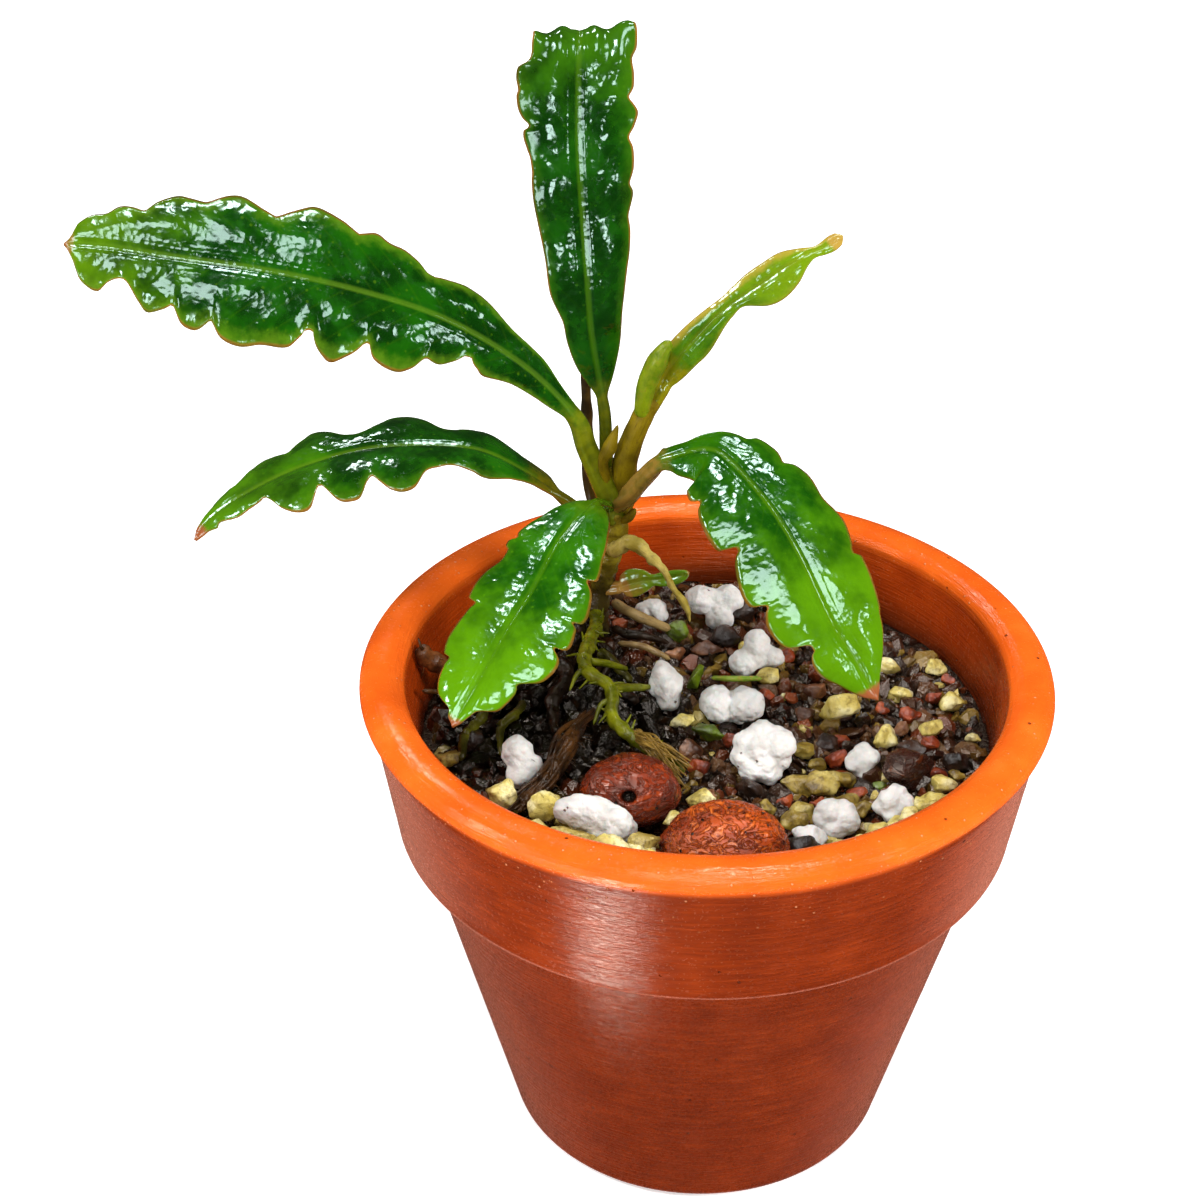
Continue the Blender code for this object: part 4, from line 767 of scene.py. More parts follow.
# Near black: the wet soil's own dark, with the shade in the gaps between grains painted into it
GROUND_SOIL_AND_SHADE = [(0.35, (6, 3, 1)), (0.6, (20, 10, 5)), (0.8, (40, 22, 10))]
FLOOR_WHITES = [(0.3, (247, 247, 247)), (0.7, (250, 250, 250))]
WHITE = (1.0, 1.0, 1.0, 1.0)


def grit_finish(name, shades, shine):
    """Wet loose grains, each of one shade, with a shadow painted darker into them under the leaves."""
    grit = Finish(name)
    fine = grit.clouds(0.35, 3.0, 0.6)
    shade = grit.ramp(grit.read("kind"), shades, "CONSTANT")
    shade = grit.mix(grit.step(fine, 0.5, 0.78, 0.0, 0.5), shade, GRIT_DIRT)
    corner = tuple(value * MM for value in SHADED_CORNER)
    away = grit.add("ShaderNodeVectorMath", {0: grit.place, 1: corner}, operation="DISTANCE")
    # A shadow painted darker into the grit under the leaves
    painted_shade = grit.step(away.outputs["Value"], PAINTED_SHADE_REACH * MM, PAINTED_SHADE_REACH * 0.55 * MM, 0.0, 0.93)
    shade = grit.mix(painted_shade, shade, GRIT_PAINTED_SHADE)
    normal = grit.relief((grit.clouds(0.22, 2.0, 0.6), 0.1, 0.8), (fine, 0.12, 0.8))
    rough = grit.step(fine, 0.25, 0.75, 0.05, 0.18)
    return grit.finish(shade, rough, normal, specular_tint=GRIT_TINT, specular_ior_level=shine)


def soil_finish():
    """The wet ground between the grains, near black: the soil's own dark and shade painted into the gaps."""
    soil = Finish("grit_wet_ground")
    fine = soil.clouds(0.5, 4.0, 0.65)
    rough = soil.step(fine, 0.3, 0.7, 0.14, 0.45)
    return soil.finish(soil.ramp(fine, GROUND_SOIL_AND_SHADE), rough, soil.relief((fine, 0.4, 1.0)),
                       specular_tint=WARM_TINT)


def floor_finish():
    """The white floor of the studio, which glows a little so that it stays white."""
    floor = Finish("studio_floor")
    shade = floor.ramp(floor.clouds(90.0, 2.0), FLOOR_WHITES)
    return floor.finish(shade, 0.8, emission_color=WHITE, emission_strength=0.45)


# Meshes

def put(name, data):
    """A new object of the scene that holds this mesh, lamp or camera."""
    thing = bpy.data.objects.new(name, data)
    bpy.context.scene.collection.objects.link(thing)
    return thing


def discard(thing):
    bpy.data.objects.remove(thing, do_unlink=True)


def make_piece(name, points, faces, material=None, values=None, smooth=True):
    """A mesh object from points in millimetres, with a float attribute for each entry of values."""
    mesh = bpy.data.meshes.new(name)
    mesh.from_pydata([tuple(point) for point in np.asarray(points, float) * MM], [], faces)
    mesh.update()
    if smooth:
        mesh.shade_smooth()
    for key, column in (values or {}).items():
        attribute = mesh.attributes.new(key, "FLOAT", "POINT")
        attribute.data.foreach_set("value", np.asarray(column, np.float32).ravel())
    if material:
        mesh.materials.append(material)
    return put(name, mesh)


def made_up(name, mesh, material=None):
    """A mesh object from a mesh in the making, which is used up."""
    data = bpy.data.meshes.new(name)
    mesh.to_mesh(data)
    mesh.free()
    if material:
        data.materials.append(material)
    return put(name, data)


def join(name, pieces):
    """One piece of this name from several that share a finish."""
    mesh = bmesh.new()
    for piece in pieces:
        mesh.from_mesh(piece.data)
    joined = made_up(name, mesh, pieces[0].data.materials[0])
    for piece in pieces:
        discard(piece)
    return joined


def point_outwards(piece):
    """Merges double points and turns every face outwards."""
    mesh = bmesh.new()
    mesh.from_mesh(piece.data)
    bmesh.ops.remove_doubles(mesh, verts=mesh.verts, dist=1e-7)
    bmesh.ops.recalc_face_normals(mesh, faces=mesh.faces)
    mesh.to_mesh(piece.data)
    mesh.free()


def settle(piece, slot, *nodes):
    """The piece belongs to the standing body and stands for these nodes, which are hidden. The slot is not
    used.
    """
    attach(piece, "root")
    if nodes:
        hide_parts(*nodes)


PATH_STEPS = 24
OUTLINE_STEPS = 8
# How far before and behind a point, as a share of the length, its path's direction is read
AHEAD_REACH = 0.015


def smooth_path(points, steps):
    """A smooth curve through the points, as rows of x, y and z, with this many steps between two points."""
    knots = [np.array(point, float) for point in points]
    knots = [2 * knots[0] - knots[1]] + knots + [2 * knots[-1] - knots[-2]]
    path = []
    for a, b, c, d in zip(knots, knots[1:], knots[2:], knots[3:]):
        for step in range(steps):
            t = step / steps
            path.append(0.5 * (2 * b + (c - a) * t + (2 * a - 5 * b + 4 * c - d) * t**2
                               + (3 * b - 3 * c + d - a) * t**3))
    path.append(knots[-2])
    return np.array(path)


def unit(rows):
    return rows / np.linalg.norm(rows, axis=-1, keepdims=True)


class Route:
    """A path read at fractions of its length, which counts from 0 at the point that follows its roots."""

    def __init__(self, points, roots=0):
        self.path = smooth_path(points, PATH_STEPS)
        steps = np.linalg.norm(np.diff(self.path, axis=0), axis=1)
        self.places = np.concatenate([[0.0], np.cumsum(steps)])
        self.lead = self.places[roots * PATH_STEPS]
        self.length = self.places[-1] - self.lead

    def at(self, t):
        """The point at each t. Before the first point and past the last the path runs on straight."""
        wanted = t * self.length + self.lead
        inside = np.stack([np.interp(wanted, self.places, self.path[:, k]) for k in range(3)], axis=-1)
        before = np.minimum(wanted, 0)[..., None] * (self.path[1] - self.path[0]) / self.places[1]
        last = self.places[-1] - self.places[-2]
        past = np.maximum(wanted - self.places[-1], 0)[..., None] * (self.path[-1] - self.path[-2]) / last
        return inside + before + past

    def ahead(self, t):
        """The path's direction at each t."""
        start = -self.lead / self.length
        low = np.minimum(np.maximum(t - AHEAD_REACH, start), 1 - AHEAD_REACH)
        high = np.maximum(np.minimum(t + AHEAD_REACH, 1), start + AHEAD_REACH)
        return unit(self.at(high) - self.at(low))

    def sections(self, t, facing):
        """The middle of a section at each t, and the ways right and up in it, for a piece that faces so."""
        ahead = self.ahead(t)
        right = unit(np.cross(ahead, np.array(facing)))
        return self.at(t), right, np.cross(right, ahead)


def ring_faces(rings, around):
    """Quads between rings of equally many points, and one face over each end."""
    faces = []
    for i in range(rings - 1):
        for k in range(around):
            m = (k + 1) % around
            faces.append((i * around + k, i * around + m, (i + 1) * around + m, (i + 1) * around + k))
    faces.append(tuple(range(around))[::-1])
    faces.append(tuple(range((rings - 1) * around, rings * around)))
    return faces


def make_swept(name, sections, sideways, rise, values, material):
    """A closed skin round a route. Sideways and rise have a row for each section, with its points."""
    middle, right, up = sections
    points = middle[:, None, :] + right[:, None, :] * sideways[..., None] + up[:, None, :] * rise[..., None]
    values = {key: np.broadcast_to(column, sideways.shape) for key, column in values.items()}
    piece = make_piece(name, points.reshape(-1, 3), ring_faces(*sideways.shape), material, values)
    point_outwards(piece)
    return piece


def hills(x, y, seed):
    """Noise from about -1 to 1 at every pair of the two arrays."""
    x, y = np.broadcast_arrays(x, y)
    flat = [noise.noise(Vector((a, b, seed))) for a, b in zip(x.ravel(), y.ravel())]
    return np.array(flat).reshape(x.shape)


def smooth_step(value, low, high):
    share = np.clip((value - low) / (high - low), 0, 1)
    return share * share * (3 - 2 * share)


# Leaves

# The blade's forms grow to their full size over this share of the length past the stalk, and fade over
# the other one before the end
FORMS_GROW = 0.08
FORMS_FADE = 0.06
# The midrib fades over this share of the length at both ends
RIB_FADE = 0.06
# How much of the length the rounding of the tip takes
TIP_ROUNDING = 0.02
# Noise on the blade: its size along and across the leaf in millimetres, then its share
PUCKERS_BROAD = (1.9, 1.5, 0.65)
PUCKERS_FINE = (0.9, 0.8, 0.35)
SWELL_SIZE = (4.6, 3.1)
# The half width of a side vein's groove, as a share of the distance between two veins
VEIN_WIDTH = 0.16
# The groove on top of a stalk: its depth as a share of the radius, and its half width as an angle
GUTTER_DEPTH = 0.3
GUTTER_WIDTH = 0.5
NO_EAR = (0.0, 1.0, 0.0)


def outline(t, rows):
    """The half width at every t: a smooth curve through the rows."""
    path = smooth_path([(place, half, 0.0) for place, half in rows], OUTLINE_STEPS)
    return np.interp(t, path[:, 0], path[:, 1])


def scalloped(wave):
    """Turns an edge's waves into round lobes with sharp notches between them, of the same height."""
    window = np.ones(SCALLOP_WINDOW) / SCALLOP_WINDOW
    height = np.sqrt(2 * np.convolve(wave**2, window, "same")) + 0.05
    return height * (2 * np.sqrt((1 + np.clip(wave / height, -1, 1)) / 2) - 1.15)


def leaf_edge(leaf, hand, t, grown):
    """The half width and the lift of one edge at every t. Lobes hang, notches curl up, an ear stands."""
    half = outline(t, leaf[hand])
    shifts = np.linspace(-OUTLINE_SPAN, OUTLINE_SPAN, 11)
    evened = np.mean([outline(t + shift, leaf[hand]) for shift in shifts], axis=0)
    curl = leaf["curl"][0 if hand == "left" else 1]
    wave = half - evened
    change = SCALLOP * (scalloped(wave) - wave)
    lift = np.clip(-curl * (wave + change) * grown, -CURL_LIMIT, CURL_LIMIT)
    place, span, height = leaf.get("ears", {}).get(hand, NO_EAR)
    return half + change * grown, lift + height * np.exp(-(((t - place) / span) ** 2))


def leaf_round():
    """How far across each point round a section lies, from the left edge over the top and back below, and
    its side: 1 above, -1 below, 0 on the two edges."""
    rows = np.linspace(-1, 1, 2 * LEAF_ROWS - 1)
    rows = np.sign(rows) * np.abs(rows) ** ROW_CROWDING
    across = np.concatenate([rows, rows[-2:0:-1]])
    surface = np.concatenate([np.ones(len(rows)), -np.ones(len(rows) - 2)])
    surface[0] = surface[len(rows) - 1] = 0
    return across, surface


def blade_relief(leaf, seed, t, run, side, edge, grown):
    """How far the blade's middle layer rises and falls: puckers, swell, crinkles and side veins."""
    puckers = 0
    for (along, across, share), shift in ((PUCKERS_BROAD, 0.0), (PUCKERS_FINE, 5.3)):
        puckers = puckers + share * hills(run / along, side / across, seed + shift)
    relief = PUCKER * puckers * (0.15 + 0.85 * smooth_step(edge, 0.2, 0.7)) * grown
    along, across = SWELL_SIZE
    swell = leaf.get("swell", 0.1) * hills(run / along, side / across, seed + 9.1)
    relief += swell * smooth_step(edge, 0.05, 0.45) * grown
    crinkle = leaf.get("crinkle", 0.0) * smooth_step(t, CRINKLE_FROM, CRINKLE_FROM + 0.05)[:, None]
    waves = np.cos(2 * math.pi * (side + CRINKLE_SHIFT) / CRINKLE_PITCH)
    relief += crinkle * waves * smooth_step(edge, 0.1, 0.4)
    slant = (run - VEIN_SLANT * np.abs(side)) / VEIN_PITCH
    groove = np.exp(-((slant - np.round(slant)) / VEIN_WIDTH) ** 2)
    return relief - VEIN_GROOVE * groove * smooth_step(edge, 0.06, 0.3) * grown


def blade_surface(surface, side, edge, blade):
    """How far each surface lies from the middle layer: its thickness, and the groove and keel of the rib."""
    rib = np.exp(-(side / RIB_WIDTH) ** 2) * blade
    shoulders = np.exp(-((np.abs(side) - 2.2 * RIB_WIDTH) / (1.2 * RIB_WIDTH)) ** 2) * blade
    rib_rise = np.where(surface > 0, RIB_SHOULDER * shoulders - RIB_GROOVE * rib, -RIB_KEEL * rib)
    return rib_rise + surface * BLADE_THICKNESS * (1 - EDGE_THINNING * edge**2) / 2


def stalk_to_blade(leaf, t, across, surface, side, rise):
    """The skin's offsets sideways and up: a round stalk with a gutter on top that flattens to the blade."""
    stalk_end, foot_radius, neck_radius = leaf["stalk"]
    angle = np.where(surface >= 0, math.pi / 2 * (1 - across), math.pi / 2 * (3 + across))
    radius = foot_radius + (neck_radius - foot_radius) * np.clip(t / stalk_end, 0, 1)
    flat = smooth_step(t, stalk_end * FLATTEN_FROM, stalk_end + FLAT_AFTER)[:, None]
    gutter = 1 - GUTTER_DEPTH * np.exp(-((angle - math.pi / 2) / GUTTER_WIDTH) ** 2)
    round_side = radius[:, None] * np.cos(angle)
    round_rise = radius[:, None] * np.sin(angle) * gutter
    return round_side + (side - round_side) * flat, round_rise + (rise - round_rise) * flat


def make_leaf(name, leaf, seed, material):
    route = Route(leaf["root"] + leaf["spine"], len(leaf["root"]))
    t = np.linspace(-route.lead / route.length, 1, LEAF_STATIONS)
    across, surface = leaf_round()
    past_stalk = t - leaf["stalk"][0]
    grown = np.clip(past_stalk / FORMS_GROW, 0, 1)
    grown = grown * np.clip((leaf.get("lobes_end", 1.0) - t) / FORMS_FADE, 0, 1)
    half = np.empty((LEAF_STATIONS, len(across)))
    lift = np.empty((LEAF_STATIONS, len(across)))
    for hand, chosen in (("left", across < 0), ("right", across >= 0)):
        hand_half, hand_lift = leaf_edge(leaf, hand, t, grown)
        half[:, chosen] = hand_half[:, None]
        lift[:, chosen] = hand_lift[:, None]
    half *= np.sqrt(np.clip((1.0 - t) / TIP_ROUNDING, 0.04, 1))[:, None]
    edge = np.abs(across)[None, :]
    side = across[None, :] * half
    run = (t * route.length)[:, None]
    blade = np.clip(past_stalk / RIB_FADE, 0, 1) * np.clip((1 - t) / RIB_FADE, 0, 1)
    rise = lift * edge**CURL_DEPTH + BLADE_BULGE * half * np.sin(math.pi * edge)
    rise += blade_relief(leaf, seed, t, run, side, edge, grown[:, None])
    rise += blade_surface(surface, side, edge, blade[:, None])
    offsets = stalk_to_blade(leaf, t, across, surface, side, rise)
    values = {"along": t[:, None], "across": across, "upper": surface, "run": run, "side": side}
    return make_swept(name, route.sections(t, leaf["face"]), *offsets, values, material)


LEAF_LOOKS = {
    # name: seed, shades deep, middle, bright, rib, stalk and end, then where it turns bright, how golden its
    # edge is, and where the brown end begins
    "leaf_upright": (3.1, (5, 40, 1), (16, 68, 3), (54, 100, 5), (66, 106, 10), (92, 98, 10), BROWN_END,
                     0.7, 0.4, 1.2),
    "leaf_long_left": (7.7, (5, 42, 1), (18, 74, 2), (84, 120, 6), (84, 120, 24), (104, 110, 12), BROWN_END,
                       0.74, 0.7, 0.982),
    "leaf_low_left": (11.3, (10, 50, 2), (28, 88, 4), (70, 116, 6), (88, 120, 20), (100, 92, 10), BROWN_END,
                      0.55, 0.4, 0.955),
    "leaf_front_left": (15.9, (16, 66, 1), (40, 98, 2), (80, 132, 3), (70, 116, 6), (70, 110, 8), BROWN_END,
                        0.42, 0.3, 0.965),
    "leaf_right": (21.2, (14, 62, 1), (38, 92, 2), (76, 124, 3), (78, 116, 8), (130, 100, 40), BROWN_END,
                   0.45, 0.35, 0.955),
    "leaf_young": (27.4, (44, 84, 3), (68, 110, 4), (98, 128, 8), (160, 138, 50), (120, 114, 10),
                   (160, 130, 54), 0.3, 0.5, 0.93),
    "shoot_small": (33.3, (124, 112, 32), (94, 122, 14), (86, 126, 16), (116, 130, 34), (146, 106, 46),
                    (150, 120, 60), 0.3, 0.4, 0.98),
}
# How much of the golden edge shade the rolled left side of a leaf has: its own margin with a painted
# highlight
GOLDEN_SIDE_AND_GLINT = {"leaf_young": 0.8}
YOUNG = ("leaf_young", "shoot_small")


def make_leaves():
    for name, leaf in LEAVES.items():
        seed, *shades, bright_from, edge_gold, brown_from = LEAF_LOOKS[name]
        golden_side_and_glint = GOLDEN_SIDE_AND_GLINT.get(name, 0.0)
        material = leaf_finish(name + "_skin", shades, bright_from, edge_gold, brown_from, golden_side_and_glint)
        piece = make_leaf(name + "_blade", leaf, seed, material)
        settle(piece, "young_green" if name in YOUNG else "leaf_green", name)


# Stem, stalks and roots

TUBE_SIDE = (0.3, 1.0, 0.2)
TUBE_SIDES = 20
TUBE_REACH = 0.35
TUBE_STEP = 0.25
TUBE_LOOKS = {
    # name: low, high, dirt, roughness, wet, fibres, dark foot, slot
    "stem_olive": ((98, 84, 12), (140, 124, 30), (44, 28, 8), 0.35, 0.3, 0, 52, "stalk_olive"),
    "sheath_olive": ((84, 70, 4), (118, 100, 8), (62, 42, 8), 0.4, 0, 4, 0, "stalk_olive"),
    "young_bud": ((74, 98, 5), (112, 128, 10), (110, 88, 24), 0.35, 0.15, 3, 0, "young_green"),
    "stalk_dead": ((34, 22, 8), (68, 50, 14), (18, 11, 5), 0.45, 0.2, 4, 0, "stalk_brown"),
    "stub_pale": ((138, 120, 40), (188, 168, 88), (88, 64, 22), 0.45, 0.1, 5, 0, "stalk_olive"),
    "shoot_pink": ((104, 140, 34), (138, 158, 50), (186, 120, 74), 0.35, 0.4, 0, 0, "young_green"),
    "root_green": ((70, 76, 4), (118, 122, 12), (48, 38, 6), 0.35, 0.3, 0, 0, "root_green"),
    "root_mossy": ((44, 42, 6), (80, 78, 10), (22, 15, 6), 0.4, 0.3, 0, 0, "root_green"),
    "root_pale": ((96, 72, 40), (142, 118, 72), (52, 34, 20), 0.4, 0.4, 4, 0, "root_brown"),
    "root_black": ((12, 7, 3), (30, 17, 8), (6, 3, 2), 0.35, 0.2, 0, 0, "root_brown"),
    "root_brown": ((30, 16, 6), (68, 40, 14), (14, 8, 4), 0.35, 0.25, 0, 0, "root_brown"),
    "root_wall": ((50, 24, 9), (116, 66, 30), (16, 8, 4), 0.5, 0.3, 0, 0, "root_brown"),
    "root_tan": ((104, 78, 26), (156, 124, 56), (56, 36, 12), 0.35, 0.3, 0, 0, "root_brown"),
}


def make_tube(name, path, radii, seed, material, lumps=PLAIN_LUMPS, roots=0):
    """A stalk or root with a lumpy skin. Its ends reach past the gap to the piece that they join."""
    route = Route(path, roots)
    rings = max(12, round((route.length + route.lead) / TUBE_STEP))
    start = -(TUBE_REACH + route.lead) / route.length
    t = np.linspace(start, 1 + TUBE_REACH / route.length, rings)
    radius = np.interp(t, np.linspace(0, 1, len(radii)), radii)
    to_end = np.minimum(t - start, 1 - t + TUBE_REACH / route.length) * route.length
    radius *= np.sqrt(np.clip(to_end / TUBE_REACH, 0.05, 1))
    turn = np.linspace(0, 2 * math.pi, TUBE_SIDES, endpoint=False)
    run = (t * route.length)[:, None]
    height, spacing = lumps
    skin = hills(run / spacing, np.cos(turn) * 0.8, seed)
    skin += 0.5 * hills(run / spacing * 2.2, np.sin(turn) * 1.5, seed + 3.3)
    reach = radius[:, None] * (1 + height * 1.6 * skin)
    offsets = (reach * np.cos(turn), reach * np.sin(turn))
    return make_swept(name, route.sections(t, TUBE_SIDE), *offsets, {"run": run, "turn": turn}, material)


def make_tubes():
    materials = {name: tube_finish(name + "_skin", *look) for name, (*look, _) in TUBE_LOOKS.items()}
    pieces = {}
    for i, (name, (finish_name, lumps, roots, path, radii)) in enumerate(TUBES.items()):
        piece = make_tube(name + "_grown", path, radii, 31.0 + i, materials[finish_name], lumps, roots)
        settle(piece, TUBE_LOOKS[finish_name][-1], name)
        pieces[name] = piece
    return pieces, materials


# Stones

# How far stones stand above the grit. Below 0 they are sunk in it.
CLAY_CLEAR = -0.2
PERLITE_CLEAR = -0.2
ZEOLITE_CLEAR = -0.1
LEAF_BIT_CLEAR = -0.1
LOOSE_CLEAR = -0.15
BALL_DETAIL = 6
LOBE_DETAIL = 4
CHIP_CORNERS = 13
CHIP_ROUNDS = 3


def bed_height(x, y):
    """The grit's surface: gently uneven, with a hollow under each clay ball."""
    height = BED_LEVEL + BED_RELIEF * noise.noise(Vector((x, y, BED_GRAIN)) / BED_GRAIN)
    for seat_x, seat_y, radius, depth in BED_SEATS:
        away = math.hypot(x - seat_x, y - seat_y) / radius
        if away < 1:
            height -= depth * math.cos(away * math.pi / 2)
    return height


def rest_on_bed(mesh, x, y, clear):
    """Moves a stone to x, y and up or down until it stands this far above the grit."""
    reach = max(vert.co.xy.length for vert in mesh.verts)
    around = [(x, y)]
    for share in (0.35, 0.7):
        for quarter in range(4):
            angle = quarter * math.pi / 2
            around.append((x + share * reach * math.cos(angle), y + share * reach * math.sin(angle)))
    ground = max(bed_height(*place) for place in around)
    lowest = min(vert.co.z for vert in mesh.verts)
    bmesh.ops.translate(mesh, vec=(x, y, ground + clear - lowest), verts=mesh.verts)


def fit_to(mesh, width, depth, height):
    """Scales a stone so that it is exactly this wide, deep and high, with its middle at the origin."""
    lows = [min(vert.co[k] for vert in mesh.verts) for k in range(3)]
    highs = [max(vert.co[k] for vert in mesh.verts) for k in range(3)]
    for vert in mesh.verts:
        for k, size in enumerate((width, depth, height)):
            vert.co[k] = ((vert.co[k] - lows[k]) / (highs[k] - lows[k]) - 0.5) * size


def place_stone(name, mesh, stone, material, clear):
    """Fits a stone in the making to its size, sets it on the bed and makes it an object."""
    x, y, *sizes = stone
    fit_to(mesh, *sizes)
    rest_on_bed(mesh, x, y, clear)
    bmesh.ops.recalc_face_normals(mesh, faces=mesh.faces)
    bmesh.ops.scale(mesh, vec=(MM, MM, MM), verts=mesh.verts)
    piece = made_up(name, mesh, material)
    piece.data.shade_smooth()
    return piece


def angle_from(point, hole):
    return math.acos(max(-1.0, min(1.0, point.dot(hole))))


def hollowed(point, hole):
    """How deep in the hole a point of the round ball lies, from 0 outside it to 1."""
    return math.exp(-((angle_from(point, hole) / HOLE_REACH) ** 4))


def seed_shift(seed):
    """Where in a noise field the stone with this seed lies."""
    return Vector((seed * 7.3, seed * 3.1, seed))


def wrinkled(point, seed, hole):
    """The skin of a clay ball: even, with fine turbulent wrinkles, in rings round its hole if it has one."""
    shift = seed_shift(seed)
    push = 1 + 0.06 * noise.noise(point * 1.9 + shift)
    twist = Vector((noise.noise(point * 2.1 + shift), noise.noise(point * 2.3 - shift), 0.0))
    strength = 0.026
    if hole:
        away = angle_from(point, hole)
        rings = math.sin(WRINKLE_RINGS * away + 5.0 * noise.noise(point * 3.4 + shift))
        push += 0.01 * rings * math.exp(-((away / 0.8) ** 2))
        push -= 0.26 * hollowed(point, hole)
        strength = 0.02
    push += strength * (1 - 2 * abs(noise.noise(point * 5.5 + twist * 2.0 + shift)))
    push += 0.6 * strength * (1 - 2 * abs(noise.noise(point * 13.0 + twist * 3.0 + shift)))
    return push


def make_ball(name, stone, seed, material, hole=None):
    mesh = bmesh.new()
    bmesh.ops.create_icosphere(mesh, subdivisions=BALL_DETAIL, radius=1.0)
    hollow = mesh.verts.layers.float.new("hollow")
    for vert in mesh.verts:
        vert[hollow] = hollowed(vert.co, hole) if hole else 0.0
        vert.co *= wrinkled(vert.co, seed, hole)
    return place_stone(name, mesh, stone, material, CLAY_CLEAR)


def view_ways():
    """The ways up and forwards as the camera sees them."""
    tilt = math.radians(CAMERA_TILT_DOWN)
    return Vector((0, math.sin(tilt), math.cos(tilt))), Vector((0, -math.cos(tilt), math.sin(tilt)))


def make_puff(name, stone, lobes, seed, material, clear):
    """A puffed stone: a few lobes run together, smoothed over and slightly uneven."""
    width = stone[2]
    upwards, towards = view_ways()
    mesh = bmesh.new()
    for right, rise, front, radius in lobes:
        middle = Vector((right, 0, 0)) + upwards * rise + towards * front
        size = LOBE_SWELL * radius * width / 2
        made = bmesh.ops.create_icosphere(mesh, subdivisions=LOBE_DETAIL, radius=size)
        bmesh.ops.translate(mesh, vec=middle * width / 2, verts=made["verts"])
    lump = made_up(name + "_lobes", mesh)
    joined = lump.modifiers.new("joined", "REMESH")
    joined.mode = "VOXEL"
    joined.voxel_size = PERLITE_VOXEL
    softened_over = lump.modifiers.new("softened_over", "SMOOTH")
    softened_over.factor = 0.5
    softened_over.iterations = LOBE_SMOOTHING
    graph = bpy.context.evaluated_depsgraph_get()
    mesh = bmesh.new()
    mesh.from_mesh(lump.evaluated_get(graph).to_mesh())
    discard(lump)
    shift = seed_shift(seed)
    mesh.normal_update()
    for vert in mesh.verts:
        knobs = 0.45 - noise.voronoi(vert.co / KNOB_SIZE + shift)[0][0]
        uneven = 0.16 * noise.noise(vert.co / 1.4 + shift) + 0.07 * noise.noise(vert.co / 0.5 + shift)
        vert.co += vert.normal * (uneven + KNOB_HEIGHT * knobs)
    return place_stone(name, mesh, stone, material, clear)


def make_chip(name, stone, seed, material, clear, corners=CHIP_CORNERS):
    """A broken stone: a hull of a few points, its edges worn round and its faces rough."""
    _, _, width, depth, height, *lift = stone
    rng = random.Random(seed)
    mesh = bmesh.new()
    for _ in range(corners):
        point = Vector((rng.gauss(0, 1), rng.gauss(0, 1), rng.gauss(0, 1))).normalized()
        mesh.verts.new((point.x * width / 2, point.y * depth / 2, point.z * height / 2))
    hull = bmesh.ops.convex_hull(mesh, input=mesh.verts)
    bmesh.ops.delete(mesh, geom=hull["geom_interior"], context="VERTS")
    bmesh.ops.triangulate(mesh, faces=mesh.faces)
    for _ in range(CHIP_ROUNDS):
        bmesh.ops.subdivide_edges(mesh, edges=mesh.edges, cuts=1, use_grid_fill=True)
        bmesh.ops.triangulate(mesh, faces=mesh.faces)
        bmesh.ops.smooth_vert(mesh, verts=mesh.verts, factor=0.25,
                              use_axis_x=True, use_axis_y=True, use_axis_z=True)
    mesh.normal_update()
    for vert in mesh.verts:
        rough = noise.noise(vert.co * 1.6 + Vector((seed, seed, seed))) * 0.12
        rough += noise.noise(vert.co * 4.2 + Vector((seed, 0, seed))) * 0.05
        vert.co += vert.normal * rough
    return place_stone(name, mesh, stone[:5], material, clear + sum(lift))


STONE_LOOKS = {
    # name: low, middle, high, dirt, wet
    "cream": ((182, 158, 66), (210, 192, 106), (230, 220, 168), (118, 96, 30), 0.2),
    "tan": ((104, 82, 22), (148, 124, 44), (188, 168, 92), (70, 48, 10), 0.5),
    "brick": ((96, 30, 8), (138, 54, 20), (180, 86, 40), (50, 18, 6), 0.4),
    "mauve": ((66, 34, 16), (98, 58, 32), (146, 100, 66), (38, 18, 8), 0.5),
    "black": ((16, 8, 4), (32, 18, 10), (56, 34, 20), (8, 4, 2), 0.5),
    "green": ((54, 68, 3), (84, 104, 6), (122, 138, 22), (44, 40, 5), 0.8),
}
CLAY_LOOKS = {
    # name: low, high, worn, size and depth of its wrinkles
    "clay_ball_dark": ((84, 24, 6), (118, 38, 10), (150, 60, 24), 1.6, 0.1),
    "clay_ball_warm": ((130, 42, 4), (178, 70, 12), (214, 112, 44), 1.0, 0.16),
    "clay_lump_skin": ((36, 16, 9), (60, 26, 13), (92, 46, 22), 1.2, 0.15),
}
LOOSE_SLOTS = {"cream": "zeolite_cream", "tan": "zeolite_cream", "green": "leaf_green"}


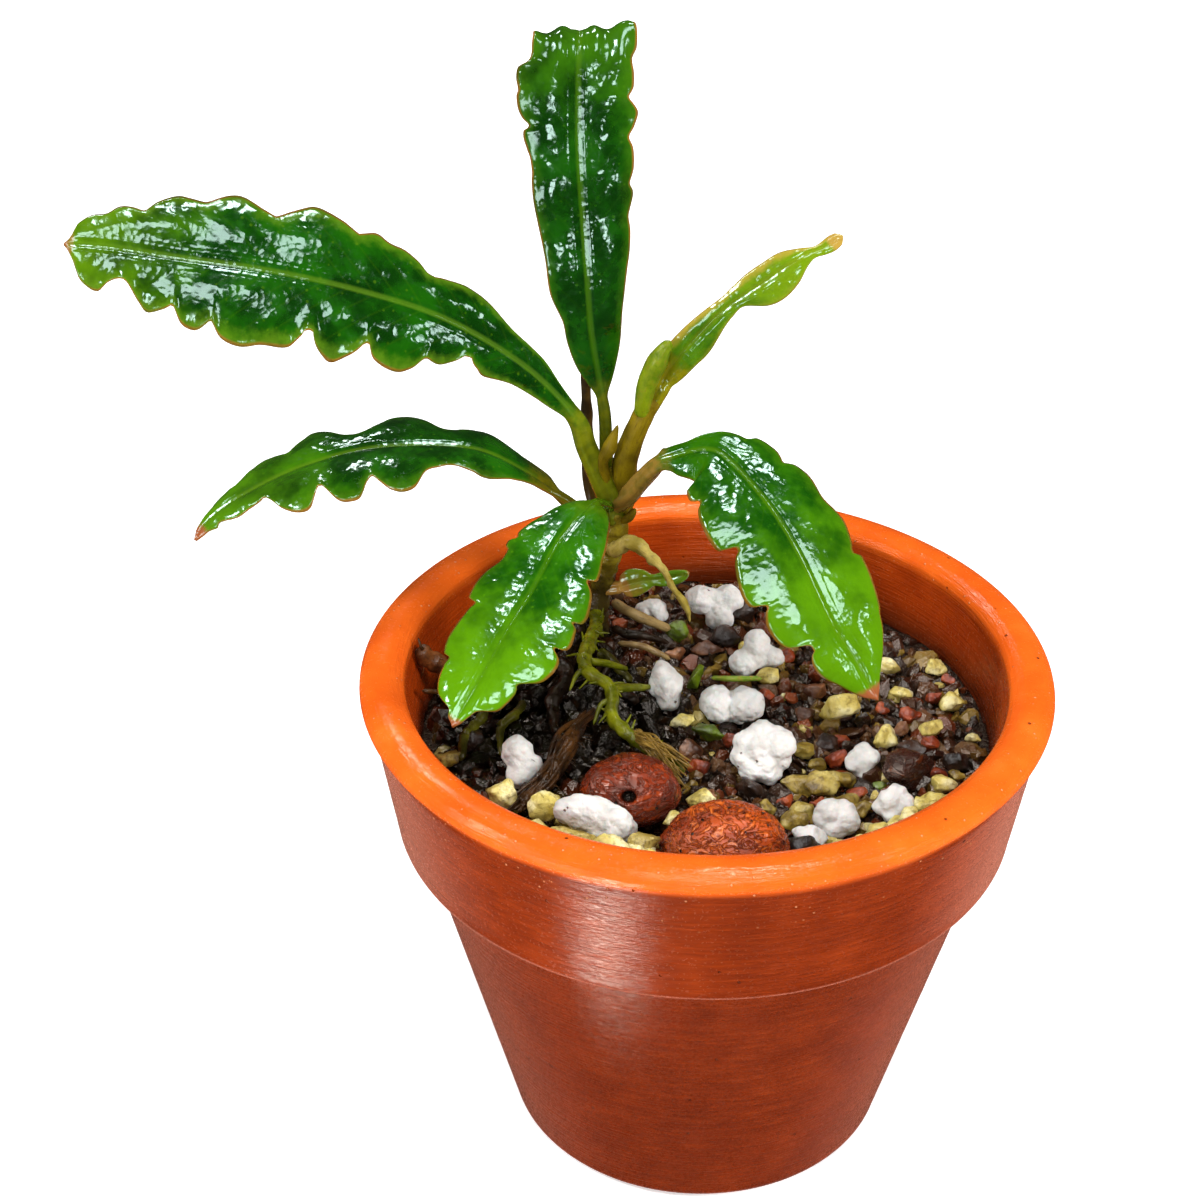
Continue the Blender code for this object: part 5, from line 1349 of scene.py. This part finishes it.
def make_stones():
    white = perlite_finish()
    looks = {name: stone_finish(name + "_stone_skin", *look) for name, look in STONE_LOOKS.items()}
    dark, warm, lump = [clay_finish(name, *look) for name, look in CLAY_LOOKS.items()]
    _, towards = view_ways()
    hole = (towards + Vector((-0.05, 0, 0))).normalized()
    settle(make_ball("clay_ball_1_skin", CLAY_BALLS[0], 41, dark, hole), "fired_clay", "clay_ball_1")
    settle(make_ball("clay_ball_2_skin", CLAY_BALLS[1], 42, warm), "fired_clay", "clay_ball_2")
    settle(make_chip("lump_dark_skin", LUMP_DARK, 66, lump, CLAY_CLEAR, 12), "fired_clay", "lump_dark")
    for i, (stone, lobes) in enumerate(zip(PERLITE, PERLITE_LOBES), start=1):
        node = f"perlite_{i}"
        piece = make_puff(node + "_puff", stone, lobes, i, white, RAISED.get(node, 0.0) + PERLITE_CLEAR)
        settle(piece, "perlite_white", node)
    for i, stone in enumerate(ZEOLITE, start=1):
        node = f"zeolite_{i}"
        clear = RAISED.get(node, 0.0) + ZEOLITE_CLEAR
        settle(make_chip(node + "_stone", stone, 100 + i, looks["cream"], clear), "zeolite_cream", node)
    for i, stone in enumerate(LEAF_BITS, start=1):
        node = f"leaf_bit_{i}"
        piece = make_chip(node + "_flake", stone, 62 + i, looks["green"], LEAF_BIT_CLEAR, 8)
        settle(piece, "leaf_green", node)
    for k, (name, stones) in enumerate(LOOSE_STONES.items()):
        chips = [make_chip("loose_" + name, stone, 200 + 40 * k + i, looks[name], LOOSE_CLEAR)
                 for i, stone in enumerate(stones)]
        settle(join("grit_stones_" + name, chips), LOOSE_SLOTS.get(name, "wet_grit"))


# Geometry trees

class Tree(Nodes):
    """A geometry tree in the making, with named inputs. It ends in Realize Instances and Set Material."""

    def __init__(self, name, inputs):
        super().__init__(bpy.data.node_groups.new(name, "GeometryNodeTree"))
        face = self.tree.interface
        face.new_socket("Geometry", in_out="INPUT", socket_type="NodeSocketGeometry")
        face.new_socket("Geometry", in_out="OUTPUT", socket_type="NodeSocketGeometry")
        self.identifiers = {}
        for input_name, kind in inputs.items():
            socket = face.new_socket(input_name, in_out="INPUT", socket_type="NodeSocket" + kind)
            self.identifiers[input_name] = socket.identifier
        self.given = self.add("NodeGroupInput").outputs

    def made(self, kind, sockets=None, **settings):
        """The first output of a node of this kind."""
        return self.add("GeometryNode" + kind, sockets, **settings).outputs[0]

    def scaled(self, vector, factor):
        return self.add("ShaderNodeVectorMath", {0: vector, "Scale": factor}, operation="SCALE").outputs[0]

    def random(self, low, high, seed):
        return self.add("FunctionNodeRandomValue", {2: low, 3: high, "Seed": seed}).outputs[1]

    def random_vector(self, low, high, seed):
        sockets = {0: low, 1: high, "Seed": seed}
        return self.add("FunctionNodeRandomValue", sockets, data_type="FLOAT_VECTOR").outputs[0]

    def drift(self, scale):
        """Noise at every point as a vector whose parts run from -0.5 to 0.5."""
        sockets = {"Vector": self.made("InputPosition"), "Scale": scale, "Detail": 2.0}
        cloud = self.add("ShaderNodeTexNoise", sockets).outputs["Color"]
        sockets = {0: cloud, 1: (0.5, 0.5, 0.5)}
        return self.add("ShaderNodeVectorMath", sockets, operation="SUBTRACT").outputs[0]

    def moved(self, geometry, offset):
        return self.made("SetPosition", {"Geometry": geometry, "Offset": offset})

    def stored(self, geometry, name, value, domain):
        sockets = {"Geometry": geometry, "Name": name, "Value": value}
        return self.made("StoreNamedAttribute", sockets, data_type="FLOAT", domain=domain)

    def close(self, geometry, smooth):
        shaded = self.made("SetShadeSmooth", {"Geometry": geometry, "Shade Smooth": smooth})
        real = self.made("RealizeInstances", {0: shaded})
        dressed = self.made("SetMaterial", {"Geometry": real, "Material": self.given["Material"]})
        self.add("NodeGroupOutput", {0: dressed})

    def grow(self, name, base, values):
        """Runs the tree on a base object and keeps its result as a plain mesh object of this name."""
        modifier = base.modifiers.new(name, "NODES")
        modifier.node_group = self.tree
        for key, value in values.items():
            modifier[self.identifiers[key]] = value
        graph = bpy.context.evaluated_depsgraph_get()
        mesh = bpy.data.meshes.new_from_object(base.evaluated_get(graph))
        mesh.name = name
        base.modifiers.remove(modifier)
        return put(name, mesh)


# Nearer the axis than this, in metres, the pot gets no tool marks
MARKS_FROM = 0.001
MERGE_REACH = 0.000005


def turning_tree():
    """Spins a profile, whose points hold a radius in x and a height in z, into a pot with tool marks."""
    tree = Tree("turned_on_a_wheel", {"Steps Round": "Int", "Mark Depth": "Float", "Mark Pitch": "Float",
                                      "Material": "Material"})
    given = tree.given
    profile = given["Geometry"]
    count = tree.add("GeometryNodeAttributeDomainSize", {0: profile}).outputs["Point Count"]
    sheet = tree.made("MeshGrid", {"Vertices X": given["Steps Round"], "Vertices Y": count})
    index = tree.made("InputIndex")
    row = tree.math("FLOORED_MODULO", index, count)
    column = tree.math("FLOOR", tree.math("DIVIDE", index, count))
    turn = tree.math("DIVIDE", column, tree.minus(given["Steps Round"], 1.0))
    angle = tree.times(turn, 2 * math.pi)
    cosine, sine = tree.math("COSINE", angle), tree.math("SINE", angle)
    sockets = {"Geometry": profile, "Value": tree.made("InputPosition"), "Index": row}
    point = tree.made("SampleIndex", sockets, data_type="FLOAT_VECTOR")
    parts = tree.add("ShaderNodeSeparateXYZ", {0: point}).outputs
    marks_at = tree.vector(cosine, sine, tree.math("DIVIDE", parts[2], given["Mark Pitch"]))
    marks = tree.add("ShaderNodeTexNoise", {"Vector": marks_at, "Scale": 1.0, "Detail": 2.0}).outputs["Fac"]
    sunk = tree.times(tree.times(marks, given["Mark Depth"]), tree.math("GREATER_THAN", parts[0], MARKS_FROM))
    radius = tree.minus(parts[0], sunk)
    spun = tree.vector(tree.times(radius, cosine), tree.times(radius, sine), parts[2])
    turned = tree.made("SetPosition", {"Geometry": sheet, "Position": spun})
    inside = tree.made("InputNamedAttribute", {"Name": "inside"}, data_type="FLOAT")
    sockets = {"Geometry": profile, "Value": inside, "Index": row}
    inside = tree.made("SampleIndex", sockets, data_type="FLOAT")
    turned = tree.stored(turned, "inside", inside, "POINT")
    tree.close(tree.made("MergeByDistance", {"Geometry": turned, "Distance": MERGE_REACH}), True)
    return tree


GRAINS_AT_MOST = 9e6
GRAIN_STRETCH = ((0.7, 0.7, 0.5), (1.35, 1.2, 0.95))
FULL_TURN = 6.28
FACET_SCALE = 900.0


def grain_tree():
    """Scatters loose grains over a surface, no two nearer than the spacing, each with its own shade."""
    tree = Tree("loose_grains", {"Spacing": "Float", "Smallest": "Float", "Largest": "Float", "Sink": "Float",
                                 "Raggedness": "Float", "Seed": "Int", "Material": "Material"})
    given = tree.given
    sockets = {"Mesh": given["Geometry"], "Distance Min": given["Spacing"], "Density Max": GRAINS_AT_MOST,
               "Seed": given["Seed"]}
    where = tree.made("DistributePointsOnFaces", sockets, distribute_method="POISSON")
    depth = tree.times(tree.random(0.0, 1.0, given["Seed"]), given["Sink"])
    where = tree.moved(where, tree.vector(z=tree.times(depth, -1.0)))
    block = tree.made("MeshCube", {"Size": (2, 2, 2), "Vertices X": 3, "Vertices Y": 3, "Vertices Z": 3})
    corner = tree.made("InputPosition")
    rounded = tree.add("ShaderNodeVectorMath", {0: corner}, operation="NORMALIZE").outputs[0]
    kernel = tree.made("SetPosition", {"Geometry": block, "Position": rounded})
    turn = tree.random_vector((0, 0, 0), (FULL_TURN, FULL_TURN, FULL_TURN), 5)
    size = tree.random(given["Smallest"], given["Largest"], 13)
    scale = tree.scaled(tree.random_vector(*GRAIN_STRETCH, 9), size)
    sockets = {"Points": where, "Instance": kernel, "Rotation": turn, "Scale": scale}
    grains = tree.made("InstanceOnPoints", sockets)
    grains = tree.stored(grains, "kind", tree.random(0.0, 1.0, 17), "INSTANCE")
    grains = tree.made("RealizeInstances", {0: grains})
    grains = tree.moved(grains, tree.scaled(tree.drift(FACET_SCALE), given["Raggedness"]))
    tree.close(grains, False)
    return tree


FIBRE_POINTS = 12
FIBRE_SIDES = 5
# The shortest fibre's length as a share of the longest one's, and the thickness of their ends as a share
FIBRE_SHORTEST = 0.45
FIBRE_END = 0.3
WANDER_SCALE = 260.0


def fibre_tree():
    """Grows thin wandering fibres out of a surface, thick at their foot and fine at their end."""
    tree = Tree("wandering_fibres", {"Density": "Float", "Length": "Float", "Thickness": "Float",
                                     "Wander": "Float", "Tilt": "Float", "Seed": "Int",
                                     "Material": "Material"})
    given = tree.given
    sockets = {"Mesh": given["Geometry"], "Density": given["Density"], "Seed": given["Seed"]}
    feet = tree.add("GeometryNodeDistributePointsOnFaces", sockets).outputs
    line = tree.made("CurvePrimitiveLine", {"Start": (0, 0, 0), "End": (0, 0, 1)})
    line = tree.made("ResampleCurve", {"Curve": line, "Count": FIBRE_POINTS})
    low, high = (tree.scaled((way, way, way), given["Tilt"]) for way in (-1, 1))
    sockets = {0: feet["Rotation"], 1: tree.random_vector(low, high, 3)}
    turned = tree.add("FunctionNodeRotateRotation", sockets, rotation_space="LOCAL").outputs[0]
    size = tree.random(tree.times(given["Length"], FIBRE_SHORTEST), given["Length"], 7)
    sockets = {"Points": feet["Points"], "Instance": line, "Rotation": turned, "Scale": size}
    grown = tree.made("RealizeInstances", {0: tree.made("InstanceOnPoints", sockets)})
    share = tree.add("GeometryNodeSplineParameter").outputs["Factor"]
    reach = tree.times(share, given["Wander"])
    grown = tree.moved(grown, tree.scaled(tree.drift(WANDER_SCALE), reach))
    sockets = {"Value": share, "To Min": 1.0, "To Max": FIBRE_END}
    taper = tree.add("ShaderNodeMapRange", sockets).outputs["Result"]
    radius = tree.times(taper, given["Thickness"])
    ring = tree.made("CurvePrimitiveCircle", {"Resolution": FIBRE_SIDES, "Radius": 1.0})
    sockets = {"Curve": grown, "Profile Curve": ring, "Scale": radius, "Fill Caps": True}
    tree.close(tree.made("CurveToMesh", sockets), True)
    return tree


# Pot and bed

# The body's top under the collar: how far in and down the wall ends, and the fillet from it to the step
BODY_TOP_IN = 0.2
BODY_TOP_DOWN = 1.0
STEP_FILLET = 0.85
STEP_FILLET_OUT = 0.65
NOTCH_DOWN = 0.2
WALL_SPACING = 0.8
FLOOR_SPACING = 4.0


def arc_points(centre, radius_out, radius_up, start, end, count):
    """Points of an elliptical arc in the profile plane, from one angle in degrees to another."""
    points = []
    for i in range(count + 1):
        angle = math.radians(start + (end - start) * i / count)
        points.append((centre[0] + radius_out * math.cos(angle), centre[1] + radius_up * math.sin(angle)))
    return points


def straight(start, end, spacing=WALL_SPACING):
    """Points from the start up to, but not with, the end."""
    count = max(1, round(math.dist(start, end) / spacing))
    return [tuple(a + (b - a) * i / count for a, b in zip(start, end)) for i in range(count)]


def outer_profile():
    """The pot's outside from the middle of the base up to the crest of the lip, as radius and height."""
    lip_middle = (LIP_CREST_RADIUS, POT_HEIGHT - LIP_HEIGHT / 2)
    foot = arc_points((BASE_RADIUS - BASE_CORNER, BASE_CORNER), BASE_CORNER, BASE_CORNER, -90, -10, 10)
    corner = arc_points((COLLAR_FOOT_RADIUS - COLLAR_CORNER, COLLAR_FOOT + COLLAR_CORNER),
                        COLLAR_CORNER, COLLAR_CORNER, -90, 0, 12)
    fillet_middle = (BODY_TOP_RADIUS + STEP_FILLET_OUT, COLLAR_FOOT - STEP_FILLET)
    notch = (LIP_NOTCH_RADIUS, LIP_FOOT - NOTCH_DOWN)
    outer = straight((0.0, 0.0), foot[0], 2.0) + foot[:-1]
    outer += straight(foot[-1], (BODY_TOP_RADIUS - BODY_TOP_IN, COLLAR_FOOT - BODY_TOP_DOWN))
    outer += arc_points(fillet_middle, STEP_FILLET, STEP_FILLET, 172, 90, 6)
    outer += corner[:-1] + straight(corner[-1], notch)
    outer += [notch, (LIP_NOTCH_RADIUS - 0.05, LIP_FOOT + 0.05)]
    return outer + arc_points(lip_middle, RIM_RADIUS - LIP_CREST_RADIUS, LIP_HEIGHT / 2, -48, 90, 26)


def inner_profile():
    """The pot's inside from the crest of the lip down to the middle of the floor, as radius and height."""
    lip_middle = (LIP_CREST_RADIUS, POT_HEIGHT - LIP_HEIGHT / 2)
    lip = arc_points(lip_middle, LIP_CREST_RADIUS - LIP_INNER_RADIUS, LIP_HEIGHT / 2, 90, 180, 16)
    at_bed = (WALL_RADIUS_AT_BED, BED_LEVEL)
    at_floor = (FLOOR_RADIUS, FLOOR_THICKNESS)
    middle = (0.0, FLOOR_THICKNESS)
    inner = lip[1:-1] + straight(lip[-1], at_bed) + straight(at_bed, at_floor, FLOOR_SPACING)
    return inner + straight(at_floor, middle, FLOOR_SPACING) + [middle]


def make_pot():
    outer, inner = outer_profile(), inner_profile()
    points = [(radius * MM, 0.0, height * MM) for radius, height in outer + inner]
    mesh = bpy.data.meshes.new("pot_profile")
    mesh.from_pydata(points, [(i, i + 1) for i in range(len(points) - 1)], [])
    inside = mesh.attributes.new("inside", "FLOAT", "POINT")
    inside.data.foreach_set("value", [0.0] * len(outer) + [1.0] * len(inner))
    profile = put("pot_profile", mesh)
    values = {"Steps Round": 289, "Mark Depth": 0.06 * MM, "Mark Pitch": 0.7 * MM, "Material": terracotta()}
    pot = turning_tree().grow("pot_turned", profile, values)
    discard(profile)
    point_outwards(pot)
    settle(pot, "terracotta", "pot")


# The ground keeps this far from the wall and the floor, and lies this much lower than the grit
GROUND_WALL_GAP = 0.05
GROUND_FLOOR_GAP = 0.1
GROUND_DOWN = 0.25
GROUND_RELIEF = 0.3
GROUND_GRAIN = 0.9


def round_points(radius):
    """The places of one ring of the ground, as x and y."""
    angles = [2 * math.pi * k / BED_SEGMENTS for k in range(BED_SEGMENTS)]
    return [(radius * math.cos(angle), radius * math.sin(angle)) for angle in angles]


def make_ground():
    """The ground between the grains, from wall to wall and down to the pot's floor."""
    points = [(0.0, 0.0, bed_height(0.0, 0.0))]
    for ring in range(1, BED_RINGS + 1):
        for x, y in round_points((WALL_RADIUS_AT_BED - GROUND_WALL_GAP) * ring / BED_RINGS):
            rough = GROUND_RELIEF * noise.noise(Vector((x, y, 1.3)) / GROUND_GRAIN)
            points.append((x, y, bed_height(x, y) + rough - GROUND_DOWN))
    foot = len(points)
    floor_height = FLOOR_THICKNESS + GROUND_FLOOR_GAP
    points += [(x, y, floor_height) for x, y in round_points(FLOOR_RADIUS - GROUND_FLOOR_GAP)]
    faces = [(0, 1 + k, 1 + (k + 1) % BED_SEGMENTS) for k in range(BED_SEGMENTS)]
    for ring in range(BED_RINGS):
        start = 1 + ring * BED_SEGMENTS
        for k in range(BED_SEGMENTS):
            m = (k + 1) % BED_SEGMENTS
            faces.append((start + k, start + BED_SEGMENTS + k, start + BED_SEGMENTS + m, start + m))
    faces.append(tuple(range(foot, foot + BED_SEGMENTS))[::-1])
    ground = make_piece("grit_ground", points, faces, soil_finish())
    point_outwards(ground)
    return ground


PATCH_STEPS = 48


def make_patch(name, middle, reach, inner_radius, lift=0.0):
    """A disc of the bed's surface that carries what is scattered, not wider than the pot allows."""
    points, faces, kept = [], [], {}
    for i in range(PATCH_STEPS + 1):
        for k in range(PATCH_STEPS + 1):
            x = middle[0] + reach * (2 * i / PATCH_STEPS - 1)
            y = middle[1] + reach * (2 * k / PATCH_STEPS - 1)
            if math.hypot(x - middle[0], y - middle[1]) <= reach and math.hypot(x, y) <= inner_radius:
                kept[i, k] = len(points)
                points.append((x, y, bed_height(x, y) + lift))
    for i, k in kept:
        corners = [(i, k), (i + 1, k), (i + 1, k + 1), (i, k + 1)]
        if all(corner in kept for corner in corners):
            faces.append(tuple(kept[corner] for corner in corners))
    return make_piece(name, points, faces)


FINE_SHADES = [
    (0.0, (22, 11, 5)), (0.3, (46, 25, 12)), (0.56, (78, 46, 22)), (0.7, (92, 40, 16)), (0.79, (88, 64, 22)),
    (0.87, (126, 100, 40)), (0.92, (104, 74, 48)), (0.965, (200, 178, 98)),
]
MIXED_SHADES = [
    (0.0, (26, 12, 6)), (0.34, (58, 30, 15)), (0.55, (92, 38, 16)), (0.65, (84, 56, 20)),
    (0.76, (124, 98, 38)), (0.86, (98, 68, 46)), (0.93, (134, 60, 26)), (0.965, (206, 186, 104)),
]
# Near-black clumps: the wet soil's own dark, deepened by painted shade of the corner
CLUMP_SOIL_AND_SHADE = [(0.0, (6, 3, 1)), (0.45, (16, 8, 3)), (0.75, (40, 22, 8)), (0.93, (60, 46, 8))]
GRAIN_RAGGEDNESS = 1.5
BED_REACH = 27.0
GRAIN_LIMIT = 26.8
# The heap of soil in the shaded corner: its middle, its reach, how near the wall it comes and how high it
# lies
HEAP = ((SHADED_CORNER[0] - 1.5, SHADED_CORNER[1] + 1.0), 12.0, 25.5, 0.7)


def make_grit(ground):
    tree = grain_tree()
    fine = grit_finish("grit_fine_wet", FINE_SHADES, 0.8)
    mixed = grit_finish("grit_mixed_wet", MIXED_SHADES, 0.8)
    clumps = grit_finish("soil_clumps_wet", CLUMP_SOIL_AND_SHADE, 0.45)
    bed = make_patch("grain_patch", (0.0, 0.0), BED_REACH, GRAIN_LIMIT)
    heap = make_patch("clump_patch", *HEAP)
    layers = {
        # name: patch, spacing, smallest, largest, sink, seed, finish
        "grit_fine_1": (bed, 1.0, 0.4, 0.8, 0.5, 21, fine),
        "grit_fine_2": (bed, 1.6, 0.6, 1.05, 0.2, 22, fine),
        "grit_coarse": (bed, 2.4, 0.8, 1.5, 0.4, 23, mixed),
        "grit_clumps": (heap, 1.5, 0.6, 1.6, 1.0, 24, clumps),
    }
    for name, (patch, spacing, smallest, largest, sink, seed, material) in layers.items():
        values = {"Spacing": spacing * MM, "Smallest": smallest * MM, "Largest": largest * MM,
                  "Sink": sink * MM, "Raggedness": GRAIN_RAGGEDNESS * MM, "Seed": seed, "Material": material}
        settle(tree.grow(name, patch, values), "wet_grit")
    discard(bed)
    discard(heap)
    settle(ground, "wet_grit", "grit_bed")


# Finer roots

# How far to each side the ends of a strand of the frayed root stray, and how it bends and arches between
FRAY_START_STRAY = 0.4
FRAY_END_STRAY = 0.6
FRAY_BEND = 0.5
FRAY_ARCH = Vector((0, 0, 0.3))
FRAY_RADII = (0.13, 0.06)
# The strands of the clump: how far they stray to a side, down and up, their radii at the start and the end
CLUMP_STRAY = (0.9, 0.6, 0.7)
CLUMP_RADII = ((0.15, 0.4), 0.12)
# The dark roots: the range of their directions in degrees, their length, their radii, and how they wander
DARK_DIRECTIONS = (170, 285)
DARK_LENGTHS = (7.0, 13.0)
DARK_RADII = ((0.35, 0.6), 0.25)
DARK_POINTS = 5
DARK_FOOT_STRAY = 0.8
DARK_STRAY = 1.5
DARK_NARROWING = 0.8
DARK_RISE = 2.6
DARK_LIFT = (-0.4, 0.9)
DARK_LIMIT = 25.5
# The skins of the fine roots are told apart by a number up to this
SKIN_SEEDS = 50


def make_strand(name, path, start_radius, end_radius, seed, material):
    radii = [start_radius, (start_radius + end_radius) / 2, end_radius]
    return make_tube(name, path, radii, seed, material)


def stray(rng, reach):
    return Vector([rng.uniform(-reach, reach) for _ in range(3)])


def near(rng, point, reach):
    return Vector([value + rng.uniform(-reach, reach) for value in point])


def fray_paths(rng):
    """The ways of the frayed end of the mossy root: fine strands that part over the clay ball."""
    for end in np.repeat(FRAY_ENDS, STRANDS_EACH, axis=0):
        first = near(rng, FRAY_START, FRAY_START_STRAY)
        last = near(rng, end, FRAY_END_STRAY)
        yield [first, (first + last) / 2 + stray(rng, FRAY_BEND) + FRAY_ARCH, last]


def clump_paths(rng):
    """The ways of the strands that wind round the brown root, each along a part of it."""
    side, down, rise = CLUMP_STRAY
    for _ in range(CLUMP_STRANDS):
        path = [Vector(point) + Vector([rng.uniform(-side, side), rng.uniform(-side, side),
                                        rng.uniform(-down, rise)]) for point in CLUMP_PATH]
        first = rng.randrange(2)
        yield path[first:first + 3]


def dark_paths(rng):
    """The ways of the dark roots, from the foot of the stem out over the grit, inside the pot's wall."""
    for _ in range(DARK_ROOTS):
        turn = rng.uniform(*(math.radians(direction) for direction in DARK_DIRECTIONS))
        length = rng.uniform(*DARK_LENGTHS)
        path = [Vector(DARK_FOOT) + stray(rng, DARK_FOOT_STRAY)]
        for step in range(1, DARK_POINTS + 1):
            share = step / DARK_POINTS
            x = DARK_FOOT[0] + math.cos(turn) * length * share * DARK_NARROWING
            x += rng.uniform(-DARK_STRAY, DARK_STRAY)
            y = DARK_FOOT[1] + math.sin(turn) * length * share + rng.uniform(-DARK_STRAY, DARK_STRAY)
            inwards = min(1.0, DARK_LIMIT / math.hypot(x, y))
            height = bed_height(x * inwards, y * inwards) + DARK_RISE * (1 - share) + rng.uniform(*DARK_LIFT)
            path.append(Vector((x * inwards, y * inwards, height)))
        yield path


def make_strands(name, paths, radii, rng, material):
    """One piece of strands along these paths. The first radius may be a range, for each to draw from."""
    start, end = radii
    strands = []
    for path in paths:
        start_radius = rng.uniform(*start) if isinstance(start, tuple) else start
        strands.append(make_strand("strand", path, start_radius, end, rng.uniform(0, SKIN_SEEDS), material))
    settle(join(name, strands), "root_brown")


def make_finer_roots(materials):
    """Side branches of the mossy root, its frayed end, loose twigs and the dark roots of the shaded corner.
    """
    brown = materials["root_brown"]
    branches = [make_strand("branch", *branch, 70.0 + i, materials["root_green"])
                for i, branch in enumerate(ROOT_BRANCHES)]
    settle(join("root_branches", branches), "root_green")
    twigs = [make_strand("twig", *twig, 80.0 + i, brown) for i, twig in enumerate(TWIGS)]
    settle(join("root_twigs", twigs), "root_brown")
    rng = random.Random(19)
    make_strands("root_strands", fray_paths(rng), FRAY_RADII, rng, materials["root_tan"])
    make_strands("root_clump", clump_paths(rng), CLUMP_RADII, rng, brown)
    make_strands("roots_dark_fine", dark_paths(rng), DARK_RADII, rng, materials["root_black"])


ROOT_HAIRS = {
    # name: root, hairs per square metre, length, thickness, wander, tilt, seed, finish, slot
    "root_hairs_main": ("root_main", 0.5e6, 1.1, 0.16, 0.8, 0.9, 41, "root_green", "root_green"),
    "root_hairs_wall": ("root_stub_wall", 0.3e6, 0.8, 0.06, 0.6, 0.9, 42, "root_wall", "root_brown"),
    "root_hairs_brown": ("root_brown", 0.8e6, 1.5, 0.045, 1.8, 1.2, 43, "root_brown", "root_brown"),
}


def make_fibres(pieces, materials):
    """Short hairs on the mossy root, on the stub at the wall and on the brown root."""
    tree = fibre_tree()
    for name, (base, density, length, thickness, wander, tilt, seed, finish_name, slot) in ROOT_HAIRS.items():
        values = {"Density": density, "Length": length * MM, "Thickness": thickness * MM,
                  "Wander": wander * MM, "Tilt": tilt, "Seed": seed, "Material": materials[finish_name]}
        settle(tree.grow(name, pieces[base], values), slot)


# Studio

FLOOR_REACH = 1500
AIR_TINT = (1.0, 0.99, 0.97, 1.0)
AIR_STRENGTH = 0.04
LAMPS = {
    # name: place, target, width, height, power, spread in degrees
    "softbox_key": ((0, -215, 520), (-5, 0, 55), 280, 150, 1.7, 180),
    "softbox_front": ((-24, -420, 200), (-10, 15, 90), 70, 90, 0.4, 180),
    "softbox_left": ((-330, -60, 330), (-5, 0, 55), 70, 110, 0.9, 180),
    "softbox_right": ((320, -170, 330), (0, 0, 45), 60, 90, 0.3, 180),
    "softbox_low_left": ((-300, -300, 130), (0, 0, 30), 160, 120, 0.7, 180),
    "softbox_low": ((380, -120, 180), (0, 0, 42), 140, 110, 1.6, 180),
    "softbox_back": ((-120, 330, 380), (-5, 20, 50), 80, 34, 0.28, 180),
    "softbox_top": ((60, 120, 600), (0, 60, 0), 110, 100, 1.1, 180),
    "card_low": ((-29, -52, 3), (-10, -30, 42), 15, 16, 0.0021, 50),
    "floor_wash": ((0, 750, 600), (0, 750, 0), 500, 500, 5.0, 80),
}
# The lamp that lights the side without a glint of its own
NO_GLINT = "softbox_low"


def make_lamp(name, place, target, width, height, power, spread):
    light = bpy.data.lights.new(name, "AREA")
    light.shape = "RECTANGLE"
    light.size = width * MM
    light.size_y = height * MM
    light.energy = power
    light.spread = math.radians(spread)
    lamp = put(name, light)
    lamp.location = Vector(place) * MM
    lamp.rotation_euler = (Vector(target) - Vector(place)).to_track_quat("-Z", "Y").to_euler()
    lamp.visible_camera = False
    lamp.visible_glossy = name != NO_GLINT


def make_studio():
    corners = [(-1, -1), (1, -1), (1, 1), (-1, 1)]
    points = [(x * FLOOR_REACH, y * FLOOR_REACH, 0) for x, y in corners]
    floor = make_piece("studio_floor", points, [(0, 1, 2, 3)], floor_finish(), smooth=False)
    floor.visible_glossy = False
    world = bpy.data.worlds.new("studio_air")
    world.use_nodes = True
    air = world.node_tree.nodes["Background"].inputs
    air["Color"].default_value = AIR_TINT
    air["Strength"].default_value = AIR_STRENGTH
    bpy.context.scene.world = world
    for name, lamp in LAMPS.items():
        make_lamp(name, *lamp)
    bpy.context.scene.view_settings.view_transform = "Standard"


def make_camera():
    lens = bpy.data.cameras.new("camera")
    lens.lens = CAMERA_LENS
    lens.sensor_width = CAMERA_SENSOR
    lens.clip_start = 0.01
    camera = put("camera", lens)
    camera.location = Vector(CAMERA_PLACE) * MM
    camera.rotation_euler = (math.radians(90 - CAMERA_TILT_DOWN), 0, 0)
    bpy.context.scene.camera = camera


make_camera()
make_studio()
make_pot()
make_leaves()
stalks, stalk_finishes = make_tubes()
make_stones()
make_grit(make_ground())
make_fibres(stalks, stalk_finishes)
make_finer_roots(stalk_finishes)
